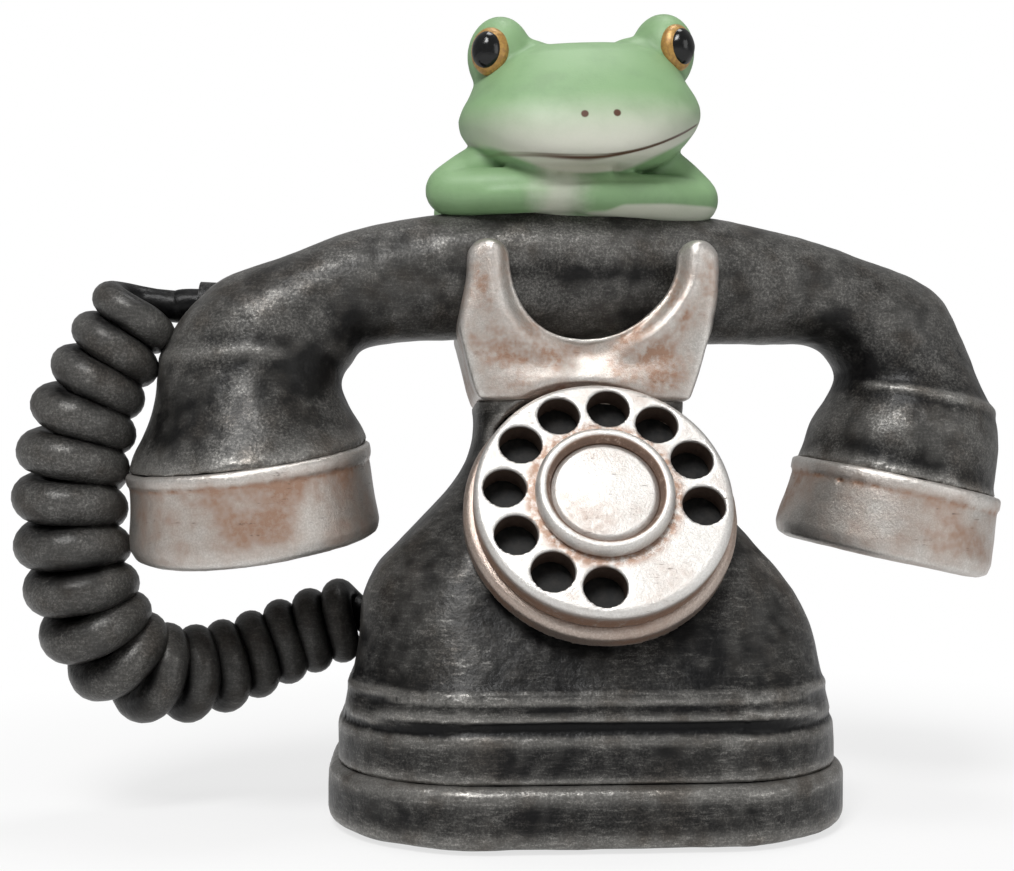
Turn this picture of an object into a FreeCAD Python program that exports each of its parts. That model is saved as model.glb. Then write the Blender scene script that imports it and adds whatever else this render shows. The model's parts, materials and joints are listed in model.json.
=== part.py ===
import FreeCAD, Part
import math
import os
import re

import Sketcher
from FreeCAD import Placement, Rotation, Vector

os.makedirs("parts", exist_ok=True)

# Sizes in millimetres and degrees. The floor is z = 0, the dial faces -Y and the handset runs along X.
SIZES = {
    # Stepped foot
    "foot_drop": 1.0,
    "foot_radius": 7.0,
    "foot_height": 2.0,
    "foot_spread": 33.0,
    "foot_front": 38.0,
    "foot_rear": 42.0,
    "tray_half_width": 67.6,
    "tray_front": 52.0,
    "tray_rear": 56.25,
    "tray_corner": 42.0,
    "tray_height": 14.7,
    "tray_wall": 6.5,
    "tray_floor": 3.0,
    "tray_round": 3.0,
    "tier_inset": 2.6,
    "tier_height": 11.9,
    "tier_corner": 38.0,
    "groove_depth": 4.2,
    "groove_height": 1.4,
    "band_inset": 4.6,
    "band_taper": 1.4,
    "band_height": 7.0,
    "band_corner": 33.0,
    # Sloping body and neck
    "wall": 3.0,
    "neck_top": 107.5,
    "neck_half_width": 27.5,
    "neck_half_depth": 23.0,
    "neck_corner": 11.0,
    "slope_share": 0.35,
    "sweep_start": 0.25,
    "sweep_length": 0.65,
    "front_power": 1.35,
    "deck": 3.0,
    "post_spread": 47.0,
    "post_front": 32.0,
    "post_rear": 36.5,
    "post_radius": 4.5,
    "post_height": 24.0,
    "screw_shank": 1.5,
    "screw_head": 3.0,
    "screw_head_height": 1.2,
    # Cradle
    "cradle_half_depth": 23.8,
    "cradle_foot": 26.8,
    "cradle_waist": 33.0,
    "cradle_waist_height": 122.0,
    "cradle_horn": 32.2,
    "cradle_horn_height": 144.7,
    "cradle_tip_radius": 5.3,
    "cradle_u_radius": 21.9,
    "saddle_radius": 24.0,
    "saddle_floor": 123.8,
    "saddle_half_gap": 19.2,
    "cradle_round": 1.6,
    # Dial
    "dial_reach": 42.4,
    "dial_height": 83.6,
    "dial_lean": 27.5,
    "wheel_radius": 31.5,
    "wheel_thickness": 7.0,
    "wheel_round": 2.0,
    "hole_radius": 5.25,
    "hole_pitch": 24.1,
    "hole_start": -7.0,
    "hole_span": 274.0,
    "hole_count": 10,
    "hub_radius": 16.7,
    "hub_inner": 13.5,
    "hub_rise": 3.6,
    "hub_cap_rise": 1.8,
    "dial_gap": 0.5,
    "bezel_radius": 33.8,
    "bezel_back": 13.6,
    "bezel_bore": 21.0,
    "plate_radius": 29.8,
    "plate_thickness": 1.0,
    "boss_depth": 5.4,
    "boss_bore": 26.5,
    "boss_rim": 3.0,
    "frame_radius": 25.5,
    "frame_thickness": 2.4,
    "bush_radius": 5.0,
    "shaft_radius": 3.0,
    "run_gap": 0.05,
    "back_plate_depth": 30.5,
    "back_plate_thickness": 1.5,
    "pillar_radius": 2.0,
    "pillar_ring": 22.5,
    "gear_module": 0.6,
    "gear_teeth": 60,
    "pinion_teeth": 12,
    "gear_depth": 27.0,
    "gear_thickness": 1.6,
    "stop_ring": 15.6,
    "spring_inner": 4.4,
    "spring_outer": 11.0,
    "spring_turns": 4,
    "spring_strip": 0.5,
    "cup_radius": 9.5,
    # Hook switch
    "hook_row": 3.5,
    "plunger_radius": 4.0,
    "plunger_flange": 6.0,
    "plunger_travel": 4.0,
    "bracket_drop": 21.0,
    "bracket_half_width": 16.5,
    "bracket_depth": 9.0,
    "bracket_sheet": 1.5,
    "plunger_wire": 0.8,
    # Ringer
    "ringer_row": 22.0,
    "gong_spread": 24.0,
    "gong_radius": 19.0,
    "gong_height": 12.0,
    "gong_top": 50.0,
    "gong_wall": 1.2,
    "post_thick": 3.0,
    "coil_spread": 11.0,
    "coil_radius": 7.0,
    "coil_height": 17.0,
    "clapper_ball": 3.0,
    # Circuit board
    "board_length": 74.0,
    "board_width": 24.0,
    "board_thickness": 1.6,
    "board_lift": 4.0,
    "board_row": -26.0,
    # Line inlet
    "jack_offset": 14.0,
    "jack_width": 14.0,
    "jack_depth": 16.0,
    "jack_height": 10.0,
    "jack_mouth": 10.0,
    "jack_mouth_height": 6.6,
    # Handset
    "handset_yaw": 6.0,
    "rest_gap": 0.3,
    "bar_height": 142.1,
    "bar_half_height": 17.5,
    "bar_half_width": 15.0,
    "cap_offset": 89.1,
    "cap_shift": 1.1,
    "left_tilt": 8.0,
    "right_tilt": 11.5,
    "cap_radius": 31.4,
    "right_slim": 2.0,
    "cap_wall": 3.0,
    "left_rim": 94.2,
    "right_rim": 88.2,
    "left_cap_height": 26.8,
    "right_cap_height": 22.6,
    "spigot_radius": 27.8,
    "spigot_height": 6.0,
    "capsule_radius": 25.0,
    "capsule_height": 8.0,
    "channel_radius": 4.5,
    "channel_height": 137.0,
    "sound_hole": 2.0,
    "sound_ring": 9.0,
    # Frog
    "head_height": 187.5,
    "head_half_width": 33.4,
    "head_half_depth": 25.0,
    "head_half_height": 19.0,
    "eye_spread": 22.6,
    "eye_height": 200.9,
    "eye_out": 7.2,
    "pupil_out": 1.6,
    "mound_row": 1.5,
    "eye_mound": 9.4,
    "eye_turn": 26.0,
    "elbow_spread": 36.0,
    "arm_radius": 6.3,
    "rump_back": 27.0,
    "body_half_width": 25.0,
    "dowel_radius": 1.5,
    # Curly cord
    "wire_radius": 4.1,
    "coil_start_radius": 7.2,
    "coil_turn_radius": 8.9,
    "coil_end_radius": 6.7,
    "coil_gap": 0.55,
    "coil_open_pitch": 11.4,
    "sleeve_wall": 1.8,
    "sleeve_length": 12.0,
}

doc = FreeCAD.newDocument("frog_telephone")
sheet = doc.addObject("Spreadsheet::Sheet", "dims")
for row, (alias, number) in enumerate(SIZES.items(), start=1):
    sheet.set("A%d" % row, alias)
    sheet.set("B%d" % row, str(number))
    sheet.setAlias("B%d" % row, alias)
doc.recompute()

PIECES = {}
AXES = {
    "z": Rotation(),
    "x": Rotation(Vector(0, 1, 0), 90),
    "y": Rotation(Vector(1, 0, 0), -90),
}


def ref(text):
    """Point every size named in an expression at its cell."""
    return re.sub(r"[a-z][a-z_0-9]*", lambda word: "dims." + word[0] if word[0] in SIZES else word[0], text)


def size(text):
    """Number that an expression of sizes stands for."""
    return float(sheet.evalExpression(ref(text)))


def bind(item, prop, text):
    """Tie a property to an expression of sizes."""
    item.setExpression(prop, ref(text))


def put(item, x="0", y="0", z="0"):
    """Tie an item's place to three expressions."""
    bind(item, "Placement.Base.x", x)
    bind(item, "Placement.Base.y", y)
    bind(item, "Placement.Base.z", z)
    return item


def tilt(item, axis, angle):
    """Tie an item's turn about an axis to an expression."""
    item.Placement = Placement(Vector(), Rotation(axis, 1.0))
    bind(item, "Placement.Rotation.Angle", angle)
    return item


def cylinder(name, radius, height, x="0", y="0", z="0", along="z"):
    """Round bar that starts at a point and runs along one axis."""
    item = doc.addObject("Part::Cylinder", name)
    item.Placement = Placement(Vector(), AXES[along])
    bind(item, "Radius", radius)
    bind(item, "Height", height)
    return put(item, x, y, z)


def cone(name, lower, upper, height, x="0", y="0", z="0", along="z"):
    """Tapered bar that starts at a point and runs along one axis."""
    item = doc.addObject("Part::Cone", name)
    item.Placement = Placement(Vector(), AXES[along])
    bind(item, "Radius1", lower)
    bind(item, "Radius2", upper)
    bind(item, "Height", height)
    return put(item, x, y, z)


def box(name, length, width, height, x="0", y="0", z="0"):
    """Block centred on x and y, standing on z."""
    item = doc.addObject("Part::Box", name)
    bind(item, "Length", length)
    bind(item, "Width", width)
    bind(item, "Height", height)
    return put(item, "(%s) - (%s) / 2" % (x, length), "(%s) - (%s) / 2" % (y, width), z)


def ball(name, radius, x="0", y="0", z="0"):
    """Sphere about a point."""
    item = doc.addObject("Part::Sphere", name)
    bind(item, "Radius", radius)
    return put(item, x, y, z)


def egg(name, radii, x="0", y="0", z="0", axis=None, angle="0"):
    """Ellipsoid about a point, with its half sizes along X, Y and Z before it is turned."""
    item = doc.addObject("Part::Ellipsoid", name)
    bind(item, "Radius2", radii[0])
    bind(item, "Radius3", radii[1])
    bind(item, "Radius1", radii[2])
    if axis is not None:
        tilt(item, axis, angle)
    return put(item, x, y, z)


def fuse(name, items, refine=True):
    """Several overlapping items as one."""
    item = doc.addObject("Part::MultiFuse", name)
    item.Shapes = items
    item.Refine = refine
    return item


def cut(name, base, tool, refine=True):
    """One item less another."""
    item = doc.addObject("Part::Cut", name)
    item.Base = base
    item.Tool = tool
    item.Refine = refine
    return item


def group(name, items):
    """Several loose items kept together."""
    item = doc.addObject("Part::Compound", name)
    item.Links = items
    return item


def fixed_shape(name, shape):
    """Free-form shape worked out from the sizes."""
    item = doc.addObject("Part::Feature", name)
    item.Shape = shape
    return item


def on_dial(item):
    """Move an item from the dial's own axes to the leaning dial."""
    tilt(item, Vector(1, 0, 0), "90 - dial_lean")
    return put(item, "0", "-dial_reach", "dial_height")


def on_handset(item):
    """Turn an item with the handset, which lies a little askew in its cradle."""
    return tilt(item, Vector(0, 0, 1), "handset_yaw")


def keep(label, item):
    """Name a finished piece."""
    item.Label = label
    PIECES[label] = item
    return item


def new_sketch(body, role, name):
    """Empty sketch on one of the body's own planes."""
    plane = [item for item in body.Origin.OriginFeatures if item.Role == role][0]
    sketch = body.newObject("Sketcher::SketchObject", name)
    sketch.AttachmentSupport = (plane, [""])
    sketch.MapMode = "FlatFace"
    return sketch


def pin_point(sketch, geometry, end, x, y):
    """Tie one end of a line to two expressions."""
    for kind, text in (("DistanceX", x), ("DistanceY", y)):
        index = sketch.addConstraint(Sketcher.Constraint(kind, -1, 1, geometry, end, size(text)))
        bind(sketch, "Constraints[%d]" % index, text)


def outline(body, role, name, points):
    """Closed outline of straight lines through points given as expressions."""
    sketch = new_sketch(body, role, name)
    spots = [Vector(size(x), size(y), 0) for x, y in points]
    count = len(points)
    for index in range(count):
        sketch.addGeometry(Part.LineSegment(spots[index], spots[(index + 1) % count]))
    for index in range(count):
        sketch.addConstraint(Sketcher.Constraint("Coincident", index, 2, (index + 1) % count, 1))
    for index, (x, y) in enumerate(points):
        pin_point(sketch, index, 1, x, y)
    return sketch


def ring_sketch(body, role, name, radius, x="0", y="0"):
    """One circle."""
    sketch = new_sketch(body, role, name)
    sketch.addGeometry(Part.Circle(Vector(size(x), size(y), 0), Vector(0, 0, 1), size(radius)))
    index = sketch.addConstraint(Sketcher.Constraint("Radius", 0, size(radius)))
    bind(sketch, "Constraints[%d]" % index, radius)
    pin_point(sketch, 0, 3, x, y)
    return sketch


def plan_sketch(body, name, half_width, front, rear, corner, height):
    """Rounded rectangle seen from above, with its own front and rear reach."""
    wide, near, far, bend = size(half_width), size(front), size(rear), size(corner)
    sketch = new_sketch(body, "XY_Plane", name)
    bind(sketch, "AttachmentOffset.Base.z", height)
    up = Vector(0, 0, 1)
    lines = [
        (Vector(bend - wide, -near, 0), Vector(wide - bend, -near, 0)),
        (Vector(wide, bend - near, 0), Vector(wide, far - bend, 0)),
        (Vector(wide - bend, far, 0), Vector(bend - wide, far, 0)),
        (Vector(-wide, far - bend, 0), Vector(-wide, bend - near, 0)),
    ]
    hubs = [
        (Vector(wide - bend, bend - near, 0), -90),
        (Vector(wide - bend, far - bend, 0), 0),
        (Vector(bend - wide, far - bend, 0), 90),
        (Vector(bend - wide, bend - near, 0), 180),
    ]
    for (start, end), (hub, angle) in zip(lines, hubs):
        sketch.addGeometry(Part.LineSegment(start, end))
        turn = Part.Circle(hub, up, bend)
        sketch.addGeometry(Part.ArcOfCircle(turn, math.radians(angle), math.radians(angle + 90)))
    for index in range(4):
        line, arc, after = 2 * index, 2 * index + 1, (2 * index + 2) % 8
        sketch.addConstraint(Sketcher.Constraint("Tangent", line, 2, arc, 1))
        sketch.addConstraint(Sketcher.Constraint("Tangent", arc, 2, after, 1))
        sketch.addConstraint(Sketcher.Constraint("Horizontal" if index % 2 == 0 else "Vertical", line))
        if index > 0:
            sketch.addConstraint(Sketcher.Constraint("Equal", 1, arc))
    sides = [
        ("DistanceY", 0, "-(%s)" % front),
        ("DistanceX", 2, half_width),
        ("DistanceY", 4, rear),
        ("DistanceX", 6, "-(%s)" % half_width),
    ]
    for kind, line, text in sides:
        index = sketch.addConstraint(Sketcher.Constraint(kind, -1, 1, line, 1, size(text)))
        bind(sketch, "Constraints[%d]" % index, text)
    index = sketch.addConstraint(Sketcher.Constraint("Radius", 1, bend))
    bind(sketch, "Constraints[%d]" % index, corner)
    return sketch


def pad(body, name, sketch, length, midplane=False, reverse=False):
    """Sketch raised into a solid."""
    feature = body.newObject("PartDesign::Pad", name)
    feature.Profile = sketch
    bind(feature, "Length", length)
    feature.Midplane = midplane
    feature.Reversed = reverse
    return feature


def pocket(body, name, sketch, depth, midplane=False, reverse=False):
    """Sketch sunk into the solid."""
    feature = body.newObject("PartDesign::Pocket", name)
    feature.Profile = sketch
    bind(feature, "Length", depth)
    feature.Midplane = midplane
    feature.Reversed = reverse
    return feature


def round_edges(body, name, feature, radius, chosen, kind="PartDesign::Fillet"):
    """Rounded or bevelled edges, picked by a test on each edge's middle."""
    doc.recompute()
    names = []
    for index, edge in enumerate(feature.Shape.Edges, start=1):
        if chosen(edge.valueAt((edge.FirstParameter + edge.LastParameter) / 2), edge):
            names.append("Edge%d" % index)
    result = body.newObject(kind, name)
    result.Base = (feature, names)
    bind(result, "Radius" if kind.endswith("Fillet") else "Size", radius)
    body.Tip = result
    return result


def turned(name, points):
    """Piece turned about its own Z axis from an outline of radius and height."""
    body = doc.addObject("PartDesign::Body", name)
    sketch = outline(body, "XZ_Plane", name + "_outline", points)
    feature = body.newObject("PartDesign::Revolution", name + "_turn")
    feature.Profile = sketch
    feature.ReferenceAxis = (sketch, ["V_Axis"])
    feature.Angle = 360
    return body


def screw(name, x, y, z, length, up=True):
    """Pan head screw. Its head sits on z and its shank runs up or down from there."""
    head_z = "(%s) - screw_head_height" % z if up else z
    shank_z = z if up else "(%s) - (%s)" % (z, length)
    head = cylinder(name + "_head", "screw_head", "screw_head_height", x, y, head_z)
    shank = cylinder(name + "_shank", "screw_shank", length, x, y, shank_z)
    return fuse(name, [head, shank])


def gear_shape(teeth, module, thickness, bore, turn, share):
    """Spur gear with straight-sided teeth, each as wide as a share of the pitch."""
    pitch_radius = teeth * module / 2
    tip, root = pitch_radius + 0.8 * module, pitch_radius - 1.25 * module
    step = 2 * math.pi / teeth
    corners = []
    for index in range(teeth):
        middle = index * step + math.radians(turn)
        for radius, part in ((root, -0.62), (tip, -0.3), (tip, 0.3), (root, 0.62)):
            angle = middle + part * share * step
            corners.append(Vector(radius * math.cos(angle), radius * math.sin(angle), 0))
    wire = Part.makePolygon(corners + corners[:1])
    solid = Part.Face(wire).extrude(Vector(0, 0, thickness))
    return solid.cut(Part.makeCylinder(bore, 3 * thickness, Vector(0, 0, -thickness)))


TRAY_TOP = "foot_drop + tray_height"
FLOOR_TOP = "foot_drop + tray_floor"
TIER_TOP = "(foot_drop + tray_height + tier_height)"
BAND_BOTTOM = "(foot_drop + tray_height + tier_height + groove_height)"
BAND_TOP = "(foot_drop + tray_height + tier_height + groove_height + band_height)"
CORNERS = [("left_front", -1, -1), ("right_front", 1, -1), ("left_rear", -1, 1), ("right_rear", 1, 1)]


def corner_place(side, end, spread, front, rear):
    """Place of one of four matching items under or inside the foot."""
    return ("-" if side < 0 else "") + spread, ("-" + front) if end < 0 else rear


def plan_wire(half_width, front, rear, corner, height):
    """Rounded rectangle as a wire, with its seam at the front."""
    bend = min(corner, half_width - 1, (front + rear) / 2 - 1)
    left, right = bend - half_width, half_width - bend
    near, far = bend - front, rear - bend
    lean = bend * math.sqrt(0.5)
    edges = [
        Part.LineSegment(Vector(left, -front, height), Vector(right, -front, height)),
        Part.Arc(
            Vector(right, -front, height),
            Vector(right + lean, near - lean, height),
            Vector(half_width, near, height),
        ),
        Part.LineSegment(Vector(half_width, near, height), Vector(half_width, far, height)),
        Part.Arc(
            Vector(half_width, far, height),
            Vector(right + lean, far + lean, height),
            Vector(right, rear, height),
        ),
        Part.LineSegment(Vector(right, rear, height), Vector(left, rear, height)),
        Part.Arc(
            Vector(left, rear, height),
            Vector(left - lean, far + lean, height),
            Vector(-half_width, far, height),
        ),
        Part.LineSegment(Vector(-half_width, far, height), Vector(-half_width, near, height)),
        Part.Arc(
            Vector(-half_width, near, height),
            Vector(left - lean, near - lean, height),
            Vector(left, -front, height),
        ),
    ]
    return Part.Wire([edge.toShape() for edge in edges])


def body_section(share, inset, height):
    """Plan of the sloping body at a share of the way from its shoulder to the neck."""
    step = min(max((share - size("sweep_start")) / size("sweep_length"), 0.0), 1.0)
    side = (1 - size("slope_share") * share) * (1 - step * step * (3 - 2 * step))
    ahead = (1 - share) ** size("front_power")
    neck_width, neck_depth = size("neck_half_width"), size("neck_half_depth")
    taper = size("band_inset + band_taper")
    width = neck_width + (size("tray_half_width") - taper - neck_width) * side
    front = neck_depth + (size("tray_front - 0.5") - taper + 2.5 - neck_depth) * ahead
    rear = neck_depth + (size("tray_rear") - taper - neck_depth) * side
    corner = size("neck_corner") + (size("band_corner - neck_corner")) * (1 - share)
    return plan_wire(width - inset, front - inset, rear - inset, max(corner - inset, 4.0), height)


def body_height(share):
    """Height at a share of the way from the shoulder to the neck's top."""
    return size(BAND_TOP) + share * (size("neck_top") - size(BAND_TOP))


def tier_wire(inset, corner, height):
    """Plan of the stepped foot, drawn in by an inset."""
    half_width, front, rear = size("tray_half_width"), size("tray_front"), size("tray_rear")
    return plan_wire(half_width - inset, front - inset, rear - inset, corner, height)


def tier(inset, corner, bottom, top, top_inset=None):
    """Straight or slightly tapered tier between two heights."""
    upper = inset if top_inset is None else top_inset
    wires = [tier_wire(inset, corner, bottom), tier_wire(upper, corner, top)]
    return Part.makeLoft(wires, True, True)


def dial_frame_placement():
    """Axes of the leaning dial, with Z pointing out of its face."""
    return Placement(
        Vector(0, -size("dial_reach"), size("dial_height")),
        Rotation(Vector(1, 0, 0), 90 - size("dial_lean")),
    )


def on_face(radius, depth, length):
    """Round bar along the dial's axis, from a depth below its face outwards."""
    bar = Part.makeCylinder(radius, length, Vector(0, 0, -depth))
    bar.Placement = dial_frame_placement().multiply(bar.Placement)
    return bar


def housing_shape(cord_hole):
    """Hollow body: two tiers, the sloping part, the neck, the dial's seat and four screw posts."""
    shares = [0.0, 0.1, 0.22, 0.34, 0.46, 0.58, 0.72, 0.86, 1.0]
    wall = size("wall")
    tray_top, tier_top = size(TRAY_TOP), size(TIER_TOP)
    band_bottom, band_top = size(BAND_BOTTOM), size(BAND_TOP)
    inset, groove = size("tier_inset"), size("band_inset + groove_depth - 2")
    corner = size("tier_corner")
    lower = tier(inset, corner, tray_top, tier_top)
    lower = lower.makeFillet(2.2, [edge for edge in lower.Edges if edge.BoundBox.ZMin > tier_top - 0.1])
    reveal = tier(groove, corner - 4, tier_top, band_bottom)
    taper = size("band_inset + band_taper")
    band = tier(size("band_inset - 0.5"), size("band_corner"), band_bottom, band_top, taper - 0.5)
    slope = Part.makeLoft([body_section(share, 0.0, body_height(share)) for share in shares], True, False)
    outer = lower.fuse([reveal, band, slope])
    roof = size("neck_top - deck")
    inner_wires = [body_section(share, wall, body_height(share)) for share in shares[:-1]]
    inner_wires.append(body_section(1.0, wall, roof))
    inner_slope = Part.makeLoft(inner_wires, True, False)
    inner_low = tier(groove + wall, corner - 8, tray_top - 1, band_top + 0.5)
    shell = outer.cut(inner_low.fuse(inner_slope))
    back, seat = size("bezel_back"), size("bezel_back + boss_depth")
    boss = on_face(size("bezel_radius + boss_rim"), seat, size("boss_depth")).common(outer)
    shell = shell.fuse(boss)
    posts = []
    for _, side, end in CORNERS:
        y = -size("post_front") if end < 0 else size("post_rear")
        at = Vector(side * size("post_spread"), y, size(FLOOR_TOP))
        post = Part.makeCylinder(size("post_radius"), size("post_height"), at)
        posts.append(post)
    shell = shell.fuse(posts)
    holes = [
        on_face(size("bezel_radius + 0.1"), back, 40.0),
        on_face(size("boss_bore"), seat + 1, 40.0),
        Part.makeCylinder(size("plunger_radius + 1"), 20, Vector(0, size("hook_row"), roof - 5)),
        cord_hole,
    ]
    for _, side, end in CORNERS:
        y = -size("post_front") if end < 0 else size("post_rear")
        at = Vector(side * size("post_spread"), y, 0)
        holes.append(Part.makeCylinder(size("screw_shank + 0.02"), 18.2, at))
    for side in (-1, 1):
        at = Vector(side * size("bracket_half_width - 4.5"), size("hook_row"), roof - 2)
        holes.append(Part.makeCylinder(size("screw_shank + 0.1"), 20, at))
    for angle in (90, 210, 330):
        hole = Part.makeCylinder(size("screw_shank + 0.1"), 12, Vector(*fixing_place(angle), -seat - 1))
        hole.Placement = dial_frame_placement().multiply(hole.Placement)
        holes.append(hole)
    return shell.cut(holes).removeSplitter()


def fixing_place(angle):
    """Place of a dial fixing screw across the dial's axis."""
    ring = (size("boss_bore") + size("bezel_radius")) / 2
    return ring * math.cos(math.radians(angle)), ring * math.sin(math.radians(angle))


# Middle line of the cord's coil, from beside the handset's left end round to the body's left side.
COIL_LINE = [
    Vector(-119.0, -13.5, 134.0),
    Vector(-122.6, -13.5, 124.5),
    Vector(-128.6, -13.5, 111.5),
    Vector(-133.0, -13.5, 97.0),
    Vector(-134.0, -13.5, 81.0),
    Vector(-132.4, -12.5, 66.0),
    Vector(-128.2, -9.5, 49.5),
    Vector(-118.0, -2.5, 36.5),
    Vector(-102.5, 7.0, 35.0),
    Vector(-88.0, 14.5, 40.0),
    Vector(-76.0, 18.5, 44.5),
    Vector(-61.0, 20.0, 49.0),
]


class CoilPath:
    """Wire wound about a middle line: turns that open where the line bends, then a straight run-out."""

    def __init__(self):
        self.curve = Part.BSplineCurve()
        self.curve.interpolate(COIL_LINE)
        self.length = self.curve.length()
        self.count = 3000
        self.step = self.length / self.count
        self.frames = self.carry_frames()
        self.bends = self.smooth_bends()
        self.trail = self.wind()

    def carry_frames(self):
        """Centre and cross axes carried along the middle line without twisting."""
        frames = []
        side = Vector(0, 1, 0)
        for index in range(self.count + 1):
            where = self.curve.parameterAtDistance(self.step * index, self.curve.FirstParameter)
            ahead = Vector(*self.curve.tangent(where)[0]).normalize()
            side = (side - ahead * side.dot(ahead)).normalize()
            frames.append((self.curve.value(where), side, ahead.cross(side), self.curve.curvature(where)))
        return frames

    def smooth_bends(self):
        """Bend of the middle line, averaged over about one turn."""
        reach = int(6.0 / self.step)
        bends = [frame[3] for frame in self.frames]
        smooth = []
        for index in range(len(bends)):
            near = bends[max(index - reach, 0):index + reach + 1]
            smooth.append(sum(near) / len(near))
        return smooth

    def wind(self):
        """Closely spaced points of the wire."""
        thick = size("2 * wire_radius + coil_gap")
        last_radius = size("coil_end_radius")
        ease = 1.5 * last_radius
        wound = self.length - ease - size("coil_gap")
        lead = math.atan2(thick, 2 * math.pi * last_radius)
        first, last = size("coil_turn_radius"), last_radius
        begin = size("coil_start_radius")
        loose = size("coil_open_pitch")
        angle = 0.0
        self.turns = 0.0
        trail = []
        for index, (centre, side, cross, _) in enumerate(self.frames):
            along = index * self.step
            share = min(max((along / self.length - 0.5) / 0.4, 0.0), 1.0)
            share = share * share * (3 - 2 * share)
            opened = min(along / self.length / 0.3, 1.0)
            opened = opened * opened * (3 - 2 * opened)
            radius = begin + (first - begin) * opened + (last - first) * share
            trail.append(centre + (side * math.cos(angle) + cross * math.sin(angle)) * radius)
            if along < wound:
                tight = thick / (1 - self.bends[index] * radius) / math.cos(lead)
                rate = 2 * math.pi / max(tight, loose + (thick - loose) * share)
            else:
                lean = max(math.cos(lead) - (along - wound) / ease, 0.0)
                rate = lean / math.sqrt(1 - lean * lean) / radius
            angle -= rate * self.step
            self.turns += rate * self.step / (2 * math.pi)
        return trail

    def nodes(self):
        """Points about a quarter turn apart and the wire's direction at each."""
        run = [0.0]
        for low, high in zip(self.trail, self.trail[1:]):
            run.append(run[-1] + (high - low).Length)
        parts = int(round(run[-1] / (math.pi / 2 * size("coil_turn_radius"))))
        points, headings = [], []
        index = 0
        for number in range(parts + 1):
            goal = run[-1] * number / parts
            while index < len(run) - 1 and run[index] < goal:
                index += 1
            low, high = max(index - 1, 0), min(index + 1, len(run) - 1)
            points.append(self.trail[index])
            headings.append((self.trail[high] - self.trail[low]).normalize())
        return points, headings


def arc_or_line(start, heading, end):
    """Arc that leaves a point along a heading and ends at another point."""
    chord = end - start
    across = chord - heading * chord.dot(heading)
    if across.Length < 1e-4 * chord.Length:
        return Part.LineSegment(start, end).toShape()
    normal = Vector(across).normalize()
    radius = chord.Length * chord.Length / (2 * chord.dot(normal))
    hub = start + normal * radius
    middle = hub + ((start - hub) + (end - hub)).normalize() * radius
    return Part.Arc(start, middle, end).toShape()


def two_arcs(start, heading, end, arrival):
    """Two arcs in a row that join two points along given headings."""
    chord = end - start
    both = heading + arrival
    spread = 2 * (1 - heading.dot(arrival))
    if spread < 1e-6:
        reach = chord.Length / 4
    else:
        lead = chord.dot(both)
        reach = (-lead + math.sqrt(lead * lead + spread * chord.dot(chord))) / spread
    first = start + heading * reach
    second = end - arrival * reach
    middle = (first + second) * 0.5
    turn = (second - first).normalize()
    return [arc_or_line(start, heading, middle), arc_or_line(middle, turn, end)]


def cord_shape(coil, lead_in, lead_out):
    """Curly cord as one unbroken tube, and the least gap between its turns."""
    points, tangents = coil.nodes()
    begin = points[0] - tangents[0] * lead_in
    finish = points[-1] + tangents[-1] * lead_out
    edges = [Part.LineSegment(begin, points[0]).toShape()]
    for index in range(len(points) - 1):
        edges += two_arcs(points[index], tangents[index], points[index + 1], tangents[index + 1])
    edges.append(Part.LineSegment(points[-1], finish).toShape())
    spine = Part.Wire(edges)
    radius = size("wire_radius")
    ring = Part.Wire([Part.Circle(begin, tangents[0], radius).toShape()])
    tube = spine.makePipeShell([ring], True, False)
    spots = []
    for edge in edges:
        for step in range(6):
            where = edge.FirstParameter + (edge.LastParameter - edge.FirstParameter) * step / 6
            spots.append((edge.valueAt(where), edge.Length / 6))
    run, trail = 0.0, []
    for spot, stretch in spots:
        trail.append((spot, run))
        run += stretch
    least = 1e9
    for index, (spot, here) in enumerate(trail):
        for other, there in trail[index + 1:]:
            if there - here > 6 * radius:
                least = min(least, (spot - other).Length)
    print("curly cord: wire length %.1f mm, %.1f turns" % (spine.Length, coil.turns))
    print("curly cord: least gap to itself %.2f mm" % (least - 2 * radius))
    return tube, begin, tangents[0], finish, tangents[-1]


def sleeve_shape(end, outward, inside, outside):
    """Plain sleeve about the cord where it enters a shell."""
    outer = size("wire_radius + sleeve_wall")
    start = end - outward * inside
    tube = Part.makeCylinder(outer, inside + outside, start, outward)
    return tube.cut(Part.makeCylinder(size("wire_radius + 0.05"), 200, start - outward * 100, outward))


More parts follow.
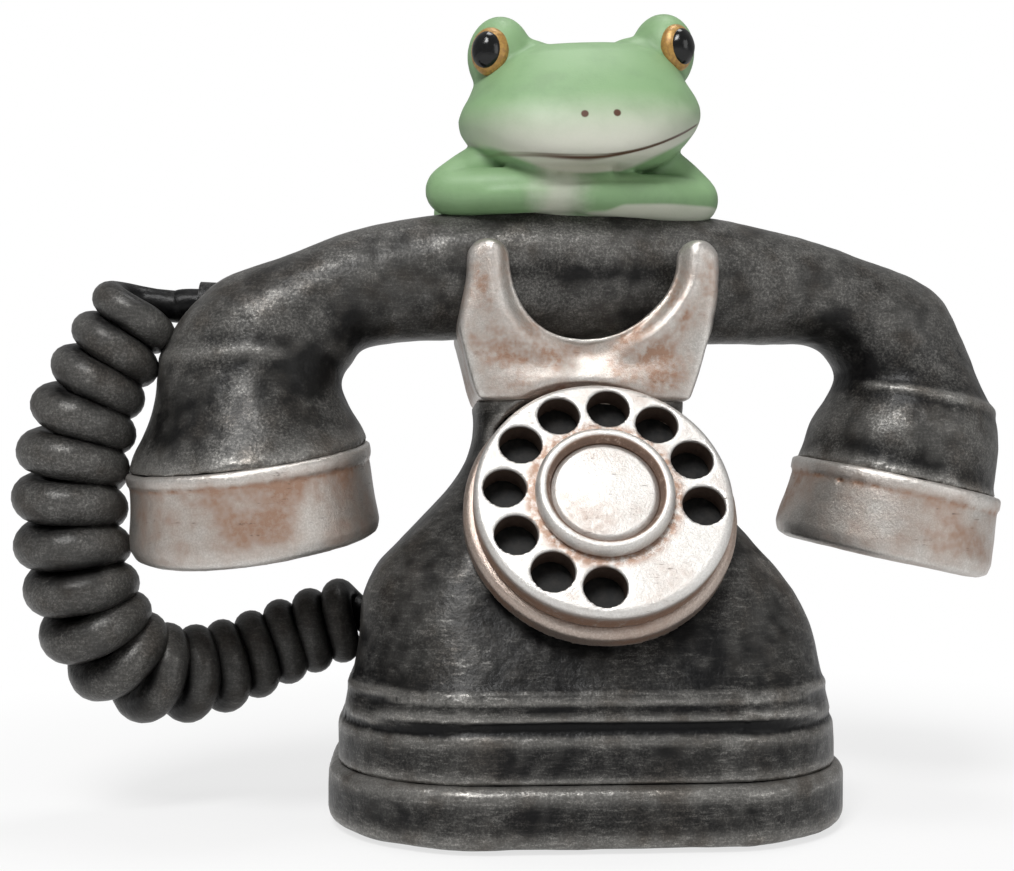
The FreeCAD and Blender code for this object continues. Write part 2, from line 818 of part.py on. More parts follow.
def make_foot():
    """Tub under the body, with feet and the screws that hold the body to it."""
    body = doc.addObject("PartDesign::Body", "tray_body")
    plan = plan_sketch(body, "tray_plan", "tray_half_width", "tray_front", "tray_rear",
                       "tray_corner", "foot_drop")
    block = pad(body, "tray_block", plan, "tray_height")
    top, bottom = size(TRAY_TOP), size("foot_drop")
    rounded = round_edges(
        body,
        "tray_edges",
        block,
        "tray_round",
        lambda spot, edge: abs(spot.z - top) < 0.01 or abs(spot.z - bottom) < 0.01,
    )
    hollow = plan_sketch(
        body,
        "tray_hollow_plan",
        "tray_half_width - tray_wall",
        "tray_front - tray_wall",
        "tray_rear - tray_wall",
        "tray_corner - tray_wall",
        TRAY_TOP,
    )
    body.Tip = rounded
    pocket(body, "tray_hollow", hollow, "tray_height - tray_floor")
    tools = []
    feet, screws = [], []
    for name, side, end in CORNERS:
        x, y = corner_place(side, end, "foot_spread", "foot_front", "foot_rear")
        feet.append(cylinder("foot_" + name, "foot_radius", "foot_height", x, y, "0"))
        tools.append(cylinder("foot_seat_" + name, "foot_radius + 0.1", "foot_height", x, y, "0"))
        x, y = corner_place(side, end, "post_spread", "post_front", "post_rear")
        seat = "foot_drop + tray_floor - 1.4"
        screws.append(screw("housing_screw_" + name, x, y, seat, "12"))
        tools.append(cylinder("screw_seat_" + name, "screw_head + 0.2", seat, x, y, "0"))
        tools.append(cylinder("screw_hole_" + name, "screw_shank + 0.2", "10", x, y, "0"))
    mouth_y = "tray_rear - jack_depth / 2"
    jack_z = FLOOR_TOP + " + 0.3"
    tools.append(box("jack_hole", "jack_width + 0.2", "jack_depth + 0.2", "jack_height + 0.2", "jack_offset",
                     mouth_y, jack_z + " - 0.1"))
    keep("base_tray", cut("tray_cut", body, fuse("tray_tools", tools)))
    keep("rubber_feet", group("feet", feet))
    keep("housing_screws", group("foot_screws", screws))
    shell = box("jack_shell", "jack_width", "jack_depth", "jack_height", "jack_offset", mouth_y, jack_z)
    cavity = box("jack_cavity", "jack_mouth", "jack_depth", "jack_mouth_height", "jack_offset",
                 mouth_y + " + 3", jack_z + " + 1.5")
    slot = box("jack_key", "4", "jack_depth", "2.5", "jack_offset", mouth_y + " + 3",
               jack_z + " + 1.4 + jack_mouth_height")
    keep("line_jack", cut("jack_cut", shell, fuse("jack_room", [cavity, slot])))


def make_cradle():
    """Casting with four horns, its two screws, and the switch under it that the handset presses."""
    body = doc.addObject("PartDesign::Body", "cradle_body")
    sketch = new_sketch(body, "XZ_Plane", "cradle_outline")
    horn, tip, bowl = "cradle_horn", "cradle_tip_radius", "cradle_u_radius"
    level = "cradle_horn_height"
    corners = [
        ("-cradle_foot", "neck_top"), ("cradle_foot", "neck_top"),
        ("cradle_waist", "cradle_waist_height"), (horn, level),
        (bowl, level), ("-" + bowl, level),
        ("-" + horn, level), ("-cradle_waist", "cradle_waist_height"),
    ]
    spots = [Vector(size(x), size(y), 0) for x, y in corners]
    high = Vector(0, size(tip) * 0.86, 0)
    deep = Vector(0, size(level) - size(bowl), 0)
    for index in range(8):
        start, end = spots[index], spots[(index + 1) % 8]
        if index in (3, 5):
            sketch.addGeometry(Part.Arc(start, (start + end) * 0.5 + high, end))
        elif index == 4:
            sketch.addGeometry(Part.Arc(start, deep, end))
        else:
            sketch.addGeometry(Part.LineSegment(start, end))
    order = []
    for index in range(8):
        flipped = (sketch.getPoint(index, 1) - spots[index]).Length > 1e-3
        order.append((index, 2, 1) if flipped else (index, 1, 2))
    for index in range(8):
        here, after = order[index], order[(index + 1) % 8]
        sketch.addConstraint(Sketcher.Constraint("Coincident", here[0], here[2], after[0], after[1]))
    for index, (x, y) in enumerate(corners):
        pin_point(sketch, index, order[index][1], x, y)
    for index, radius in ((3, tip), (5, tip)):
        number = sketch.addConstraint(Sketcher.Constraint("Radius", index, sketch.Geometry[index].Radius))
        bind(sketch, "Constraints[%d]" % number, radius)
    number = sketch.addConstraint(Sketcher.Constraint("DistanceY", -1, 1, 4, 3, size(level)))
    bind(sketch, "Constraints[%d]" % number, level)
    block = pad(body, "cradle_block", sketch, "2 * cradle_half_depth", midplane=True)
    reach = size("cradle_half_depth")
    round_edges(
        body,
        "cradle_edges",
        block,
        "cradle_round",
        lambda spot, edge: abs(abs(spot.y) - reach) < 0.01 and spot.z > size("cradle_waist_height"),
        "PartDesign::Chamfer",
    )
    saddle = cylinder("saddle_round", "saddle_radius", "100", "-50", "0", "saddle_floor + saddle_radius", "x")
    lane = box("saddle_lane", "100", "2 * saddle_half_gap", "60", "0", "0", "saddle_floor - 5")
    channel = doc.addObject("Part::Common", "saddle_channel")
    channel.Base = saddle
    channel.Tool = lane
    upper = box("saddle_upper", "100", "2 * saddle_half_gap", "40", "0", "0", "saddle_floor + saddle_radius")
    bore = cylinder("plunger_bore", "plunger_radius + run_gap", "60", "0", "hook_row", "90")
    dial_room = cylinder("dial_room", "bezel_radius + dial_gap", "40", "0", "0", "0")
    tilt(dial_room, Vector(1, 0, 0), "90 - dial_lean")
    put(dial_room, "0", "-dial_reach + bezel_back * cos(dial_lean)",
        "dial_height - bezel_back * sin(dial_lean)")
    tools = [channel, upper, bore, dial_room]
    screws = []
    for name, sign in (("left", "-"), ("right", "")):
        x = sign + "(bracket_half_width - 4.5)"
        tools.append(cylinder("cradle_hole_" + name, "screw_shank + 0.02", "8",
                              x, "hook_row", "neck_top - 1"))
        screws.append(screw("cradle_screw_" + name, x, "hook_row", "neck_top - deck - bracket_sheet",
                            "deck + bracket_sheet + 5"))
    keep("cradle", cut("cradle_cut", body, fuse("cradle_tools", tools)))
    keep("cradle_screws", group("cradle_screw_pair", screws))


def make_hook_switch():
    """Plunger under the handset, its spring, the bracket that guides it and the contacts below."""
    roof = "neck_top - deck"
    floor_z = roof + " - bracket_drop"
    arm = "bracket_half_width - 9"
    parts = [box("bracket_floor", "2 * (%s)" % arm, "bracket_depth", "bracket_sheet",
                 "0", "hook_row", floor_z)]
    tools = []
    for name, sign in (("left", "-"), ("right", "")):
        leg_x = "%s(%s - bracket_sheet / 2)" % (sign, arm)
        parts.append(box("bracket_leg_" + name, "bracket_sheet", "bracket_depth", "bracket_drop", leg_x,
                         "hook_row", floor_z))
        lip_x = "%s(bracket_half_width - 4.5)" % sign
        parts.append(box("bracket_lip_" + name, "9", "bracket_depth", "bracket_sheet", lip_x, "hook_row",
                         roof + " - bracket_sheet"))
        tools.append(cylinder("bracket_hole_" + name, "screw_shank + 0.1", "10",
                              lip_x, "hook_row", roof + " - 5"))
    tools.append(cylinder("bracket_stem_hole", "2.2", "10", "0", "hook_row", floor_z + " - 4"))
    keep("hook_bracket", cut("bracket_cut", fuse("bracket_parts", parts), fuse("bracket_holes", tools)))
    flange_top = roof + " - plunger_travel - 0.8"
    top = "bar_height - bar_half_height - rest_gap"
    keep("hook_plunger", put(turned("plunger_body", [
        ("0", floor_z + " - 3"), ("2", floor_z + " - 3"), ("2", flange_top + " - 2"),
        ("plunger_flange", flange_top + " - 2"), ("plunger_flange", flange_top),
        ("plunger_radius", flange_top), ("plunger_radius", top + " - 1"),
        ("plunger_radius - 1", top), ("0", top),
    ]), "0", "hook_row"))
    low = size(floor_z + " + bracket_sheet")
    wire = size("plunger_wire")
    rise = size(flange_top + " - 2") - low - wire
    helix = Part.makeHelix(rise / 5, rise, 4.0)
    ring = Part.Wire([Part.Circle(Vector(4.0, 0, 0), Vector(0, 1, 0), wire / 2).toShape()])
    coil = Part.Wire(helix.Edges).makePipeShell([ring], True, True)
    coil.translate(Vector(0, size("hook_row"), low + wire / 2))
    keep("plunger_spring", fixed_shape("plunger_spring_shape", coil))
    block = box("contact_block", "8", "9", "5", "0", "hook_row", floor_z + " - 5")
    well = cylinder("contact_well", "2.4", "20", "0", "hook_row", floor_z + " - 10")
    blade_low = box("contact_blade_low", "0.5", "14", "3", "-2.8", "hook_row + 9", floor_z + " - 4")
    blade_high = box("contact_blade_high", "0.5", "14", "3", "2.8", "hook_row + 9", floor_z + " - 4")
    holder = cut("contact_holder", block, well)
    keep("hook_contacts", fuse("contact_set", [holder, blade_low, blade_high]))


def make_dial():
    """Finger wheel and its train on one side, the fixed ring and plates on the other."""
    wheel = doc.addObject("PartDesign::Body", "wheel_body")
    disc = pad(wheel, "wheel_disc", ring_sketch(wheel, "XY_Plane", "wheel_ring", "wheel_radius"),
               "wheel_thickness", reverse=True)
    edge = round_edges(wheel, "wheel_edges", disc, "wheel_round",
                       lambda spot, item: spot.z > -0.01 and item.Length > 100)
    first = ring_sketch(wheel, "XY_Plane", "finger_ring", "hole_radius",
                        "hole_pitch * cos(hole_start)", "hole_pitch * sin(hole_start)")
    opening = pocket(wheel, "finger_hole", first, "2 * wheel_thickness + 4", midplane=True)
    pattern = wheel.newObject("PartDesign::PolarPattern", "finger_holes")
    pattern.Originals = [opening]
    pattern.Axis = (first, ["N_Axis"])
    bind(pattern, "Angle", "hole_span")
    bind(pattern, "Occurrences", "hole_count")
    wheel.Tip = pattern
    bore = cylinder("wheel_bore", "shaft_radius + 0.01", "40", "0", "0", "-20")
    keep("finger_wheel", on_dial(cut("wheel_cut", wheel, bore)))
    keep("hub_ring", on_dial(turned("hub_ring_body", [
        ("hub_inner", "0"), ("hub_radius", "0"), ("hub_radius", "hub_rise * 0.55"),
        ("hub_radius - 0.9", "hub_rise"), ("hub_inner + 0.9", "hub_rise"), ("hub_inner", "hub_rise * 0.6"),
    ])))
    keep("hub_cap", on_dial(turned("hub_cap_body", [
        ("0", "0"), ("hub_inner - 0.05", "0"), ("hub_inner - 0.05", "hub_cap_rise * 0.4"),
        ("hub_inner - 1.6", "hub_cap_rise"), ("0", "hub_cap_rise + 0.4"),
    ])))
    tail = "-back_plate_depth - back_plate_thickness"
    keep("dial_shaft", on_dial(turned("dial_shaft_body", [
        ("0", tail), ("shaft_radius", tail), ("shaft_radius", "-gear_depth - 2"),
        ("spring_inner - 0.6", "-gear_depth - 2"), ("spring_inner - 0.6", "-20.6"),
        ("shaft_radius", "-20.6"), ("shaft_radius", "0"), ("0", "0"),
    ])))
    top = "-wheel_thickness - dial_gap"
    shelf = top + " - plate_thickness"
    bezel = turned("bezel_body", [
        ("bezel_bore", "-bezel_back"), ("bezel_radius", "-bezel_back"), ("bezel_radius", top + " - 1.6"),
        ("bezel_radius - 1.0", top + " - 0.3"), ("bezel_radius - 2.4", top), ("plate_radius + 0.1", top),
        ("plate_radius + 0.1", shelf), ("bezel_bore", shelf),
    ])
    taps = []
    for angle in (90, 210, 330):
        x, y = fixing_place(angle)
        taps.append(cylinder("bezel_tap_%d" % angle, "screw_shank + 0.02", "3.4", "%.6f" % x, "%.6f" % y,
                             "-bezel_back - 0.2"))
    keep("dial_bezel", on_dial(cut("bezel_cut", bezel, fuse("bezel_taps", taps))))
    keep("number_plate", on_dial(turned("plate_body", [
        ("bush_radius + 0.3", shelf), ("plate_radius", shelf), ("plate_radius", top + " - 0.05"),
        ("bush_radius + 0.3", top + " - 0.05"),
    ])))
    frame_back = "-bezel_back - frame_thickness"
    frame = turned("frame_body", [
        ("bush_radius + 0.01", frame_back), ("frame_radius", frame_back),
        ("frame_radius", "-bezel_back"), ("bush_radius + 0.01", "-bezel_back"),
    ])
    pin_x = "(gear_teeth + pinion_teeth) * gear_module / 2"
    pivot = cylinder("pinion_front_hole", "1.2 + run_gap", "20", pin_x, "0", "-20")
    keep("dial_frame", on_dial(cut("frame_cut", frame, pivot)))
    keep("dial_bush", on_dial(turned("bush_body", [
        ("shaft_radius + run_gap", "-20"), ("bush_radius", "-20"), ("bush_radius", top + " - 0.3"),
        ("shaft_radius + run_gap", top + " - 0.3"),
    ])))
    back = turned("back_plate_body", [
        ("shaft_radius + run_gap", tail), ("frame_radius", tail),
        ("frame_radius", "-back_plate_depth"), ("shaft_radius + run_gap", "-back_plate_depth"),
    ])
    rear_pivot = cylinder("pinion_rear_hole", "1.5 + run_gap", "20", pin_x, "0", "-40")
    keep("dial_back_plate", on_dial(cut("back_plate_cut", back, rear_pivot)))
    pillars = []
    for angle in (60, 180, 300):
        x, y = "pillar_ring * cos(%d)" % angle, "pillar_ring * sin(%d)" % angle
        pillars.append(cylinder("pillar_%d" % angle, "pillar_radius",
                                "back_plate_depth - bezel_back - frame_thickness", x, y, "-back_plate_depth"))
    keep("dial_pillars", on_dial(group("pillar_set", pillars)))
    stop = cylinder("stop_bar", "1.4", "gear_depth - bezel_back - frame_thickness - 0.4",
                    "-stop_ring", "0", "-gear_depth + 0.4")
    keep("stop_post", on_dial(group("stop_set", [stop])))
    teeth, small, module = int(size("gear_teeth")), int(size("pinion_teeth")), size("gear_module")
    thick = size("gear_thickness")
    wheel_gear = gear_shape(teeth, module, thick, size("spring_inner - 0.55"), 0.0, 0.42)
    ring = size("stop_ring")
    lug_angle = math.radians(180 - 15)
    lug = Part.makeCylinder(1.4, 1.5, Vector(ring * math.cos(lug_angle), ring * math.sin(lug_angle), thick))
    gear = wheel_gear.fuse(lug)
    gear.translate(Vector(0, 0, -size("gear_depth") - thick))
    keep("main_gear", on_dial(group("main_gear_set", [fixed_shape("main_gear_shape", gear)])))
    centre = size(pin_x)
    pinion = gear_shape(small, module, thick + 0.8, 0.5, 180.0 + 180.0 / small, 0.42)
    pinion.translate(Vector(0, 0, -size("gear_depth") - thick - 0.4))
    front_end = size("bezel_back + frame_thickness") - 1.0
    rear_end = size("back_plate_depth + back_plate_thickness") + 8.0
    stem = Part.makeCylinder(1.5, rear_end - front_end - 1.4, Vector(0, 0, -rear_end))
    tip = Part.makeCylinder(1.2, 3.0, Vector(0, 0, -front_end - 2.0))
    cam_ends = [Part.makeCylinder(3.4, 2.0, Vector(0, sign * 1.2, -23.4)) for sign in (-1, 1)]
    cam = cam_ends[0].fuse(cam_ends[1])
    arm = Part.makeBox(3.0, 13.0, 3.0, Vector(-1.5, -6.5, -rear_end))
    weights = [Part.makeCylinder(1.5, 5.0, Vector(0, sign * 5.6, -rear_end)) for sign in (-1, 1)]
    train = pinion.fuse([stem, tip, cam, arm] + weights).removeSplitter()
    train.translate(Vector(centre, 0, 0))
    keep("pulse_pinion", on_dial(group("pulse_pinion_set", [fixed_shape("pulse_pinion_shape", train)])))
    cup_wall = turned("cup_body", [
        ("cup_radius - 1.2", tail + " - 9.5"), ("cup_radius", tail + " - 9.5"),
        ("cup_radius", tail), ("cup_radius - 1.2", tail),
    ])
    put(cup_wall, pin_x)
    keep("governor_cup", on_dial(group("cup_set", [cup_wall])))
    turns = int(size("spring_turns"))
    strip = size("spring_strip")
    inner, outer = size("spring_inner"), size("spring_outer")
    near, far = [], []
    for index in range(turns * 24 + 1):
        angle = 2 * math.pi * index / 24
        radius = inner + (outer - inner) * index / (turns * 24)
        ray = Vector(math.cos(angle), math.sin(angle), 0)
        near.append(ray * radius)
        far.append(ray * (radius + strip))
    edges = []
    for line in (near, far):
        curve = Part.BSplineCurve()
        curve.interpolate(line)
        edges.append(curve.toShape())
    edges.append(Part.LineSegment(near[0], far[0]).toShape())
    edges.append(Part.LineSegment(near[-1], far[-1]).toShape())
    ribbon = Part.Face(Part.Wire(Part.__sortEdges__(edges))).extrude(Vector(0, 0, 3.6))
    ribbon.translate(Vector(0, 0, -24.8))
    keep("return_spring", on_dial(group("return_spring_set", [fixed_shape("return_spring_shape", ribbon)])))
    block = box("pulse_block", "3.6", "6", "9", "15.6", "16.6", frame_back + " - 9")
    blades = [
        box("pulse_blade_inner", "0.3", "22", "2.4", "14.6", "7.6", "-24"),
        box("pulse_blade_outer", "0.3", "22", "2.4", "16.0", "7.6", "-24"),
    ]
    keep("pulse_contacts", on_dial(fuse("pulse_set", [block] + blades)))
    screws = []
    for angle in (90, 210, 330):
        x, y = fixing_place(angle)
        screws.append(screw("dial_screw_%d" % angle, "%.6f" % x, "%.6f" % y, "-bezel_back - boss_depth",
                            "boss_depth + 3"))
    keep("dial_fixing_screws", on_dial(group("dial_screw_set", screws)))


def make_ringer():
    """Two gongs on posts, two coils on a frame and the clapper that rocks above them."""
    floor_z = FLOOR_TOP
    row = "ringer_row"
    rim = "gong_top - gong_height"
    for name, sign in (("left", "-"), ("right", "")):
        gong = turned("gong_body_" + name, [
            ("gong_radius - gong_wall", rim), ("gong_radius", rim),
            ("gong_radius - 1", rim + " + gong_height * 0.5"), ("gong_radius - 5", "gong_top - 1.6"),
            ("gong_radius - 9", "gong_top"), ("2.1", "gong_top"), ("2.1", "gong_top - gong_wall"),
            ("gong_radius - 9.4", "gong_top - gong_wall"), ("gong_radius - 6", "gong_top - 2.6"),
            ("gong_radius - 1 - gong_wall", rim + " + gong_height * 0.5"),
        ])
        put(gong, sign + "gong_spread", row)
        keep("gong_" + name, gong)
    posts = []
    for name, sign in (("left", "-"), ("right", "")):
        x = sign + "gong_spread"
        column = cylinder("gong_column_" + name, "post_thick", "gong_top - gong_wall - (%s)" % floor_z,
                          x, row, floor_z)
        stud = cylinder("gong_stud_" + name, "2", "gong_wall + 3", x, row, "gong_top - gong_wall")
        nut = cylinder("gong_nut_" + name, "3.6", "1.8", x, row, "gong_top")
        posts.append(fuse("gong_post_" + name, [column, stud, nut]))
    keep("gong_posts", group("gong_post_pair", posts))
    plate = box("ringer_plate", "40", "16", "1.6", "0", row, floor_z)
    upright = []
    for name, sign in (("front", "-"), ("rear", "+")):
        y = "ringer_row %s 6.2" % sign
        upright.append(box("ringer_upright_" + name, "6", "1.6", "coil_height + 9", "0", y, floor_z))
    pivot_z = "(%s) + coil_height + 6" % floor_z
    pivot = cylinder("clapper_pivot", "1", "14.8", "0", "ringer_row - 7.4", pivot_z, "y")
    keep("ringer_frame", fuse("ringer_frame_parts", [plate, pivot] + upright))
    coils = []
    for name, sign in (("left", "-"), ("right", "")):
        x = sign + "coil_spread"
        base_z = floor_z + " + 1.6"
        coils.append(fuse("coil_" + name, [
            cylinder("coil_low_" + name, "coil_radius", "1.2", x, row, base_z),
            cylinder("coil_wire_" + name, "coil_radius - 1.2", "coil_height - 2", x, row, base_z),
            cylinder("coil_high_" + name, "coil_radius", "1.2", x, row, base_z + " + coil_height - 3"),
            cylinder("coil_core_" + name, "2.4", "coil_height", x, row, base_z),
        ]))
    keep("ringer_coils", group("coil_pair", coils))
    beam = box("armature", "30", "8", "2", "0", row, pivot_z + " - 1")
    sleeve = cylinder("clapper_sleeve", "2.4", "9", "0", "ringer_row - 4.5", pivot_z, "y")
    rod = cylinder("clapper_rod", "0.9", "gong_top - gong_height + 2 - (%s)" % pivot_z, "0", row, pivot_z)
    bead = ball("clapper_bead", "clapper_ball", "0", row, rim + " + 2")
    eye = cylinder("clapper_eye", "1 + run_gap", "30", "0", "ringer_row - 15", pivot_z, "y")
    keep("ringer_clapper", cut("clapper_cut", fuse("clapper_parts", [beam, sleeve, rod, bead]), eye))


def make_board():
    """Circuit board on four pillars, with its transformer, capacitor and terminal block."""
    low = FLOOR_TOP
    top = "(%s) + board_lift + board_thickness" % low
    board = box("board_sheet", "board_length", "board_width", "board_thickness",
                "0", "board_row", low + " + board_lift")
    holes, stands = [], []
    for name, side, end in CORNERS:
        x = "%s(board_length / 2 - 4)" % ("-" if side < 0 else "")
        y = "board_row %s (board_width / 2 - 4)" % ("-" if end < 0 else "+")
        holes.append(cylinder("board_hole_" + name, "1.6", "20", x, y, low))
        foot = cylinder("stand_foot_" + name, "3", "board_lift", x, y, low)
        peg = cylinder("stand_peg_" + name, "1.5", "board_thickness + 1.2", x, y, low + " + board_lift")
        stands.append(fuse("stand_" + name, [foot, peg]))
    keep("circuit_board", cut("board_cut", board, fuse("board_holes", holes)))
    keep("board_standoffs", group("stand_set", stands))
    core = box("transformer_core", "20", "13", "15", "-14", "board_row", top)
    winding = box("transformer_winding", "12", "18", "10", "-14", "board_row", top + " + 2.5")
    keep("transformer", fuse("transformer_set", [core, winding]))
    can = cylinder("capacitor_can", "5", "20", "6", "board_row + 3", top + " + 5", "x")
    lead = box("capacitor_seat", "18", "4", "1.2", "16", "board_row + 3", top)
    keep("capacitor", fuse("capacitor_set", [can, lead]))
    strip = box("terminal_strip", "24", "6", "7", "14", "board_row - 7", top)
    wells = [cylinder("terminal_well_%d" % index, "1.6", "10", "%d" % (5 + 6 * index),
                      "board_row - 7", top + " + 3")
             for index in range(4)]
    keep("terminal_block", cut("terminal_cut", strip, fuse("terminal_wells", wells)))


HANDSET_SECTIONS = [
    # Along the handset, height, turn of the section, half height, half width
    ("cap_shift - cap_offset", "left_rim", "-left_tilt", "cap_radius - 1.0", "cap_radius - 1.0"),
    ("cap_shift - cap_offset + 0.4", "left_rim + 7", "-left_tilt + 3", "27.2", "26.6"),
    ("cap_shift - cap_offset + 0.6", "left_rim + 16.5", "0", "22.4", "21.2"),
    ("cap_shift - cap_offset + 7", "left_rim + 33.2", "28", "20.8", "18.0"),
    ("-62", "137.4", "72", "15.6", "15.4"),
    ("-38", "141", "84", "16.6", "bar_half_width"),
    ("0", "bar_height", "90", "bar_half_height", "bar_half_width"),
    ("38", "141.3", "95", "16.8", "bar_half_width"),
    ("62", "139", "106", "15.3", "15.1"),
    ("cap_shift + cap_offset - 2.2", "right_rim + 39.2", "152", "19.6", "18.0"),
    ("cap_shift + cap_offset + 3.4", "right_rim + 25.6", "178", "21.6", "20.8"),
    ("cap_shift + cap_offset + 3.2", "right_rim + 16.5", "185", "25.4", "25.0"),
    ("cap_shift + cap_offset + 1.6", "right_rim + 8", "180 + right_tilt", "26.8", "26.6"),
    ("cap_shift + cap_offset", "right_rim", "180 + right_tilt",
     "cap_radius - right_slim - 1.4", "cap_radius - right_slim - 1.4"),
]


HANDSET_ENDS = (
    # Name, place along the handset, rim height, turning sense, tilt, how much slimmer than the larger end
    ("left", "cap_shift - cap_offset", "left_rim", -1, "left_tilt", "0"),
    ("right", "cap_shift + cap_offset", "right_rim", 1, "right_tilt", "right_slim"),
)


def make_handset(cord_start, cord_heading):
    """Bar with two flared ends, its caps and capsules, and the lead through it."""
    sections = []
    for index, (x, z, turn, high, wide) in enumerate(HANDSET_SECTIONS):
        item = doc.addObject("Part::Ellipse", "section_%d" % index)
        bind(item, "MajorRadius", high)
        bind(item, "MinorRadius", wide)
        tilt(item, Vector(0, 1, 0), turn)
        sections.append(put(item, x, "0", z))
    skin = doc.addObject("Part::Loft", "handset_skin")
    skin.Sections = sections
    skin.Solid = True
    skin.Ruled = False
    rooms, spigots = [], []
    for name, reach, rim, axis, lean, slim in HANDSET_ENDS:
        plug = "spigot_radius - %s" % slim
        for kind in ("room", "throat", "spigot"):
            if kind == "room":
                item = cone("end_room_" + name, plug + " - 2.3", "12", "25")
            elif kind == "throat":
                item = cylinder("end_throat_" + name, "channel_radius", "channel_height - (%s) + 1" % rim)
            else:
                item = cylinder("end_spigot_" + name, plug, "spigot_height + 1")
            tilt(item, Vector(0, axis, 0), lean)
            if kind == "spigot":
                drop = "(spigot_height)"
                put(item, "%s %s %s * sin(%s)" % (reach, "+" if axis < 0 else "-", drop, lean), "0",
                    "%s - %s * cos(%s)" % (rim, drop, lean))
                spigots.append(item)
            else:
                put(item, reach, "0", rim)
                rooms.append(item)
        bore = cylinder("spigot_bore_" + name, plug + " - 2.3", "spigot_height + 2")
        tilt(bore, Vector(0, axis, 0), lean)
        put(bore, "%s %s (spigot_height + 1) * sin(%s)" % (reach, "+" if axis < 0 else "-", lean), "0",
            "%s - (spigot_height + 1) * cos(%s)" % (rim, lean))
        rooms.append(bore)
    rooms.append(cylinder("lead_channel", "channel_radius", "2 * (cap_offset - 8)", "-(cap_offset - 8)", "0",
                          "channel_height", "x"))
    dowel_holes, dowels = [], []
    for name, sign in (("left", "-"), ("right", "")):
        at = (sign + "11", "2", "bar_height + bar_half_height - 6")
        dowel_holes.append(cylinder("dowel_hole_" + name, "dowel_radius + 0.02", "14", *at))
        dowels.append(cylinder("dowel_" + name, "dowel_radius", "13", *at))
    shell = cut("handset_hollow", fuse("handset_solid", [skin] + spigots),
                fuse("handset_rooms", rooms + dowel_holes))
    on_handset(shell)
    width = size("wire_radius + sleeve_wall + 0.02")
    bore_shape = Part.makeCylinder(width, 22, cord_start - cord_heading * 10, cord_heading)
    cord_bore = fixed_shape("handset_cord_bore", bore_shape)
    keep("handset_shell", cut("handset_cut", shell, cord_bore))
    keep("frog_dowels", on_handset(group("dowel_pair", dowels)))
    lead = cylinder("lead_bar", "1.6", "2 * (cap_offset - 12)", "-(cap_offset - 12)", "0",
                    "channel_height - channel_radius + 1.6", "x")
    keep("handset_lead", on_handset(group("lead_set", [lead])))
    labels = (("transmitter", "left_cap_height"), ("receiver", "right_cap_height"))
    for (label, high), (_, reach, rim, axis, lean, slim) in zip(labels, HANDSET_ENDS):
        inner = "spigot_radius - %s + 0.05" % slim
        rim_radius = "cap_radius - " + slim
        core = "capsule_radius - " + slim
        cap = turned(label + "_cap_body", [
            ("0", "-(%s)" % high), (rim_radius + " - 3.5", "-(%s)" % high),
            (rim_radius + " - 1.3", "-(%s) + 1.2" % high), (rim_radius + " - 0.5", "-(%s) + 4" % high),
            (rim_radius + " - 0.6", "-4.6"), (rim_radius + " - 0.9", "-4"),
            (rim_radius, "-3.3"), (rim_radius, "-0.7"), (rim_radius + " - 0.7", "-0.02"), (inner, "-0.02"),
            (inner, "-spigot_height - 0.3"), (rim_radius + " - cap_wall - 3", "-spigot_height - 0.3"),
            (rim_radius + " - cap_wall - 3", "-(%s) + cap_wall" % high), ("0", "-(%s) + cap_wall" % high),
        ])
        holes = [cylinder(label + "_hole", "sound_hole", "4 * cap_wall", "0", "0", "-(%s) - cap_wall" % high)]
        for index in range(6):
            angle = 60 * index
            holes.append(cylinder("%s_hole_%d" % (label, index), "sound_hole", "4 * cap_wall",
                                  "sound_ring * cos(%d)" % angle, "sound_ring * sin(%d)" % angle,
                                  "-(%s) - cap_wall" % high))
        pattern = fuse(label + "_holes", holes)
        drilled = cut(label + "_cap_cut", cap, pattern)
        tilt(drilled, Vector(0, axis, 0), lean)
        put(drilled, reach, "0", rim)
        keep(label + "_cap", on_handset(group(label + "_cap_set", [drilled])))
        capsule = turned(label + "_capsule_body", [
            ("0", "-(%s) + cap_wall" % high), (core + " - 2", "-(%s) + cap_wall" % high),
            (core + " - 2", "-(%s) + cap_wall + 2" % high), (core, "-(%s) + cap_wall + 3" % high),
            (core, "-(%s) + cap_wall + capsule_height - 2" % high),
            (core + " - 4", "-(%s) + cap_wall + capsule_height" % high),
            ("0", "-(%s) + cap_wall + capsule_height" % high),
        ])
        tilt(capsule, Vector(0, axis, 0), lean)
        put(capsule, reach, "0", rim)
        keep(label + "_capsule", on_handset(group(label + "_capsule_set", [capsule])))
    return skin, dowel_holes


def limb(name, start, end, thick):
    """Spindle between two joints of the frog, turned from half an ellipse."""
    begin, finish = Vector(*[size(text) for text in start]), Vector(*[size(text) for text in end])
    radius = size(thick)
    half = (finish - begin).Length / 2 + 0.75 * radius
    arc = Part.Ellipse(Vector(), half, radius).toShape(0, math.pi)
    skin = arc.revolve(Vector(), Vector(1, 0, 0), 360)
    spindle = fixed_shape(name, Part.Solid(Part.Shell(skin.Faces)))
    spindle.Placement = Placement((begin + finish) * 0.5, Rotation(Vector(1, 0, 0), finish - begin))
    return spindle


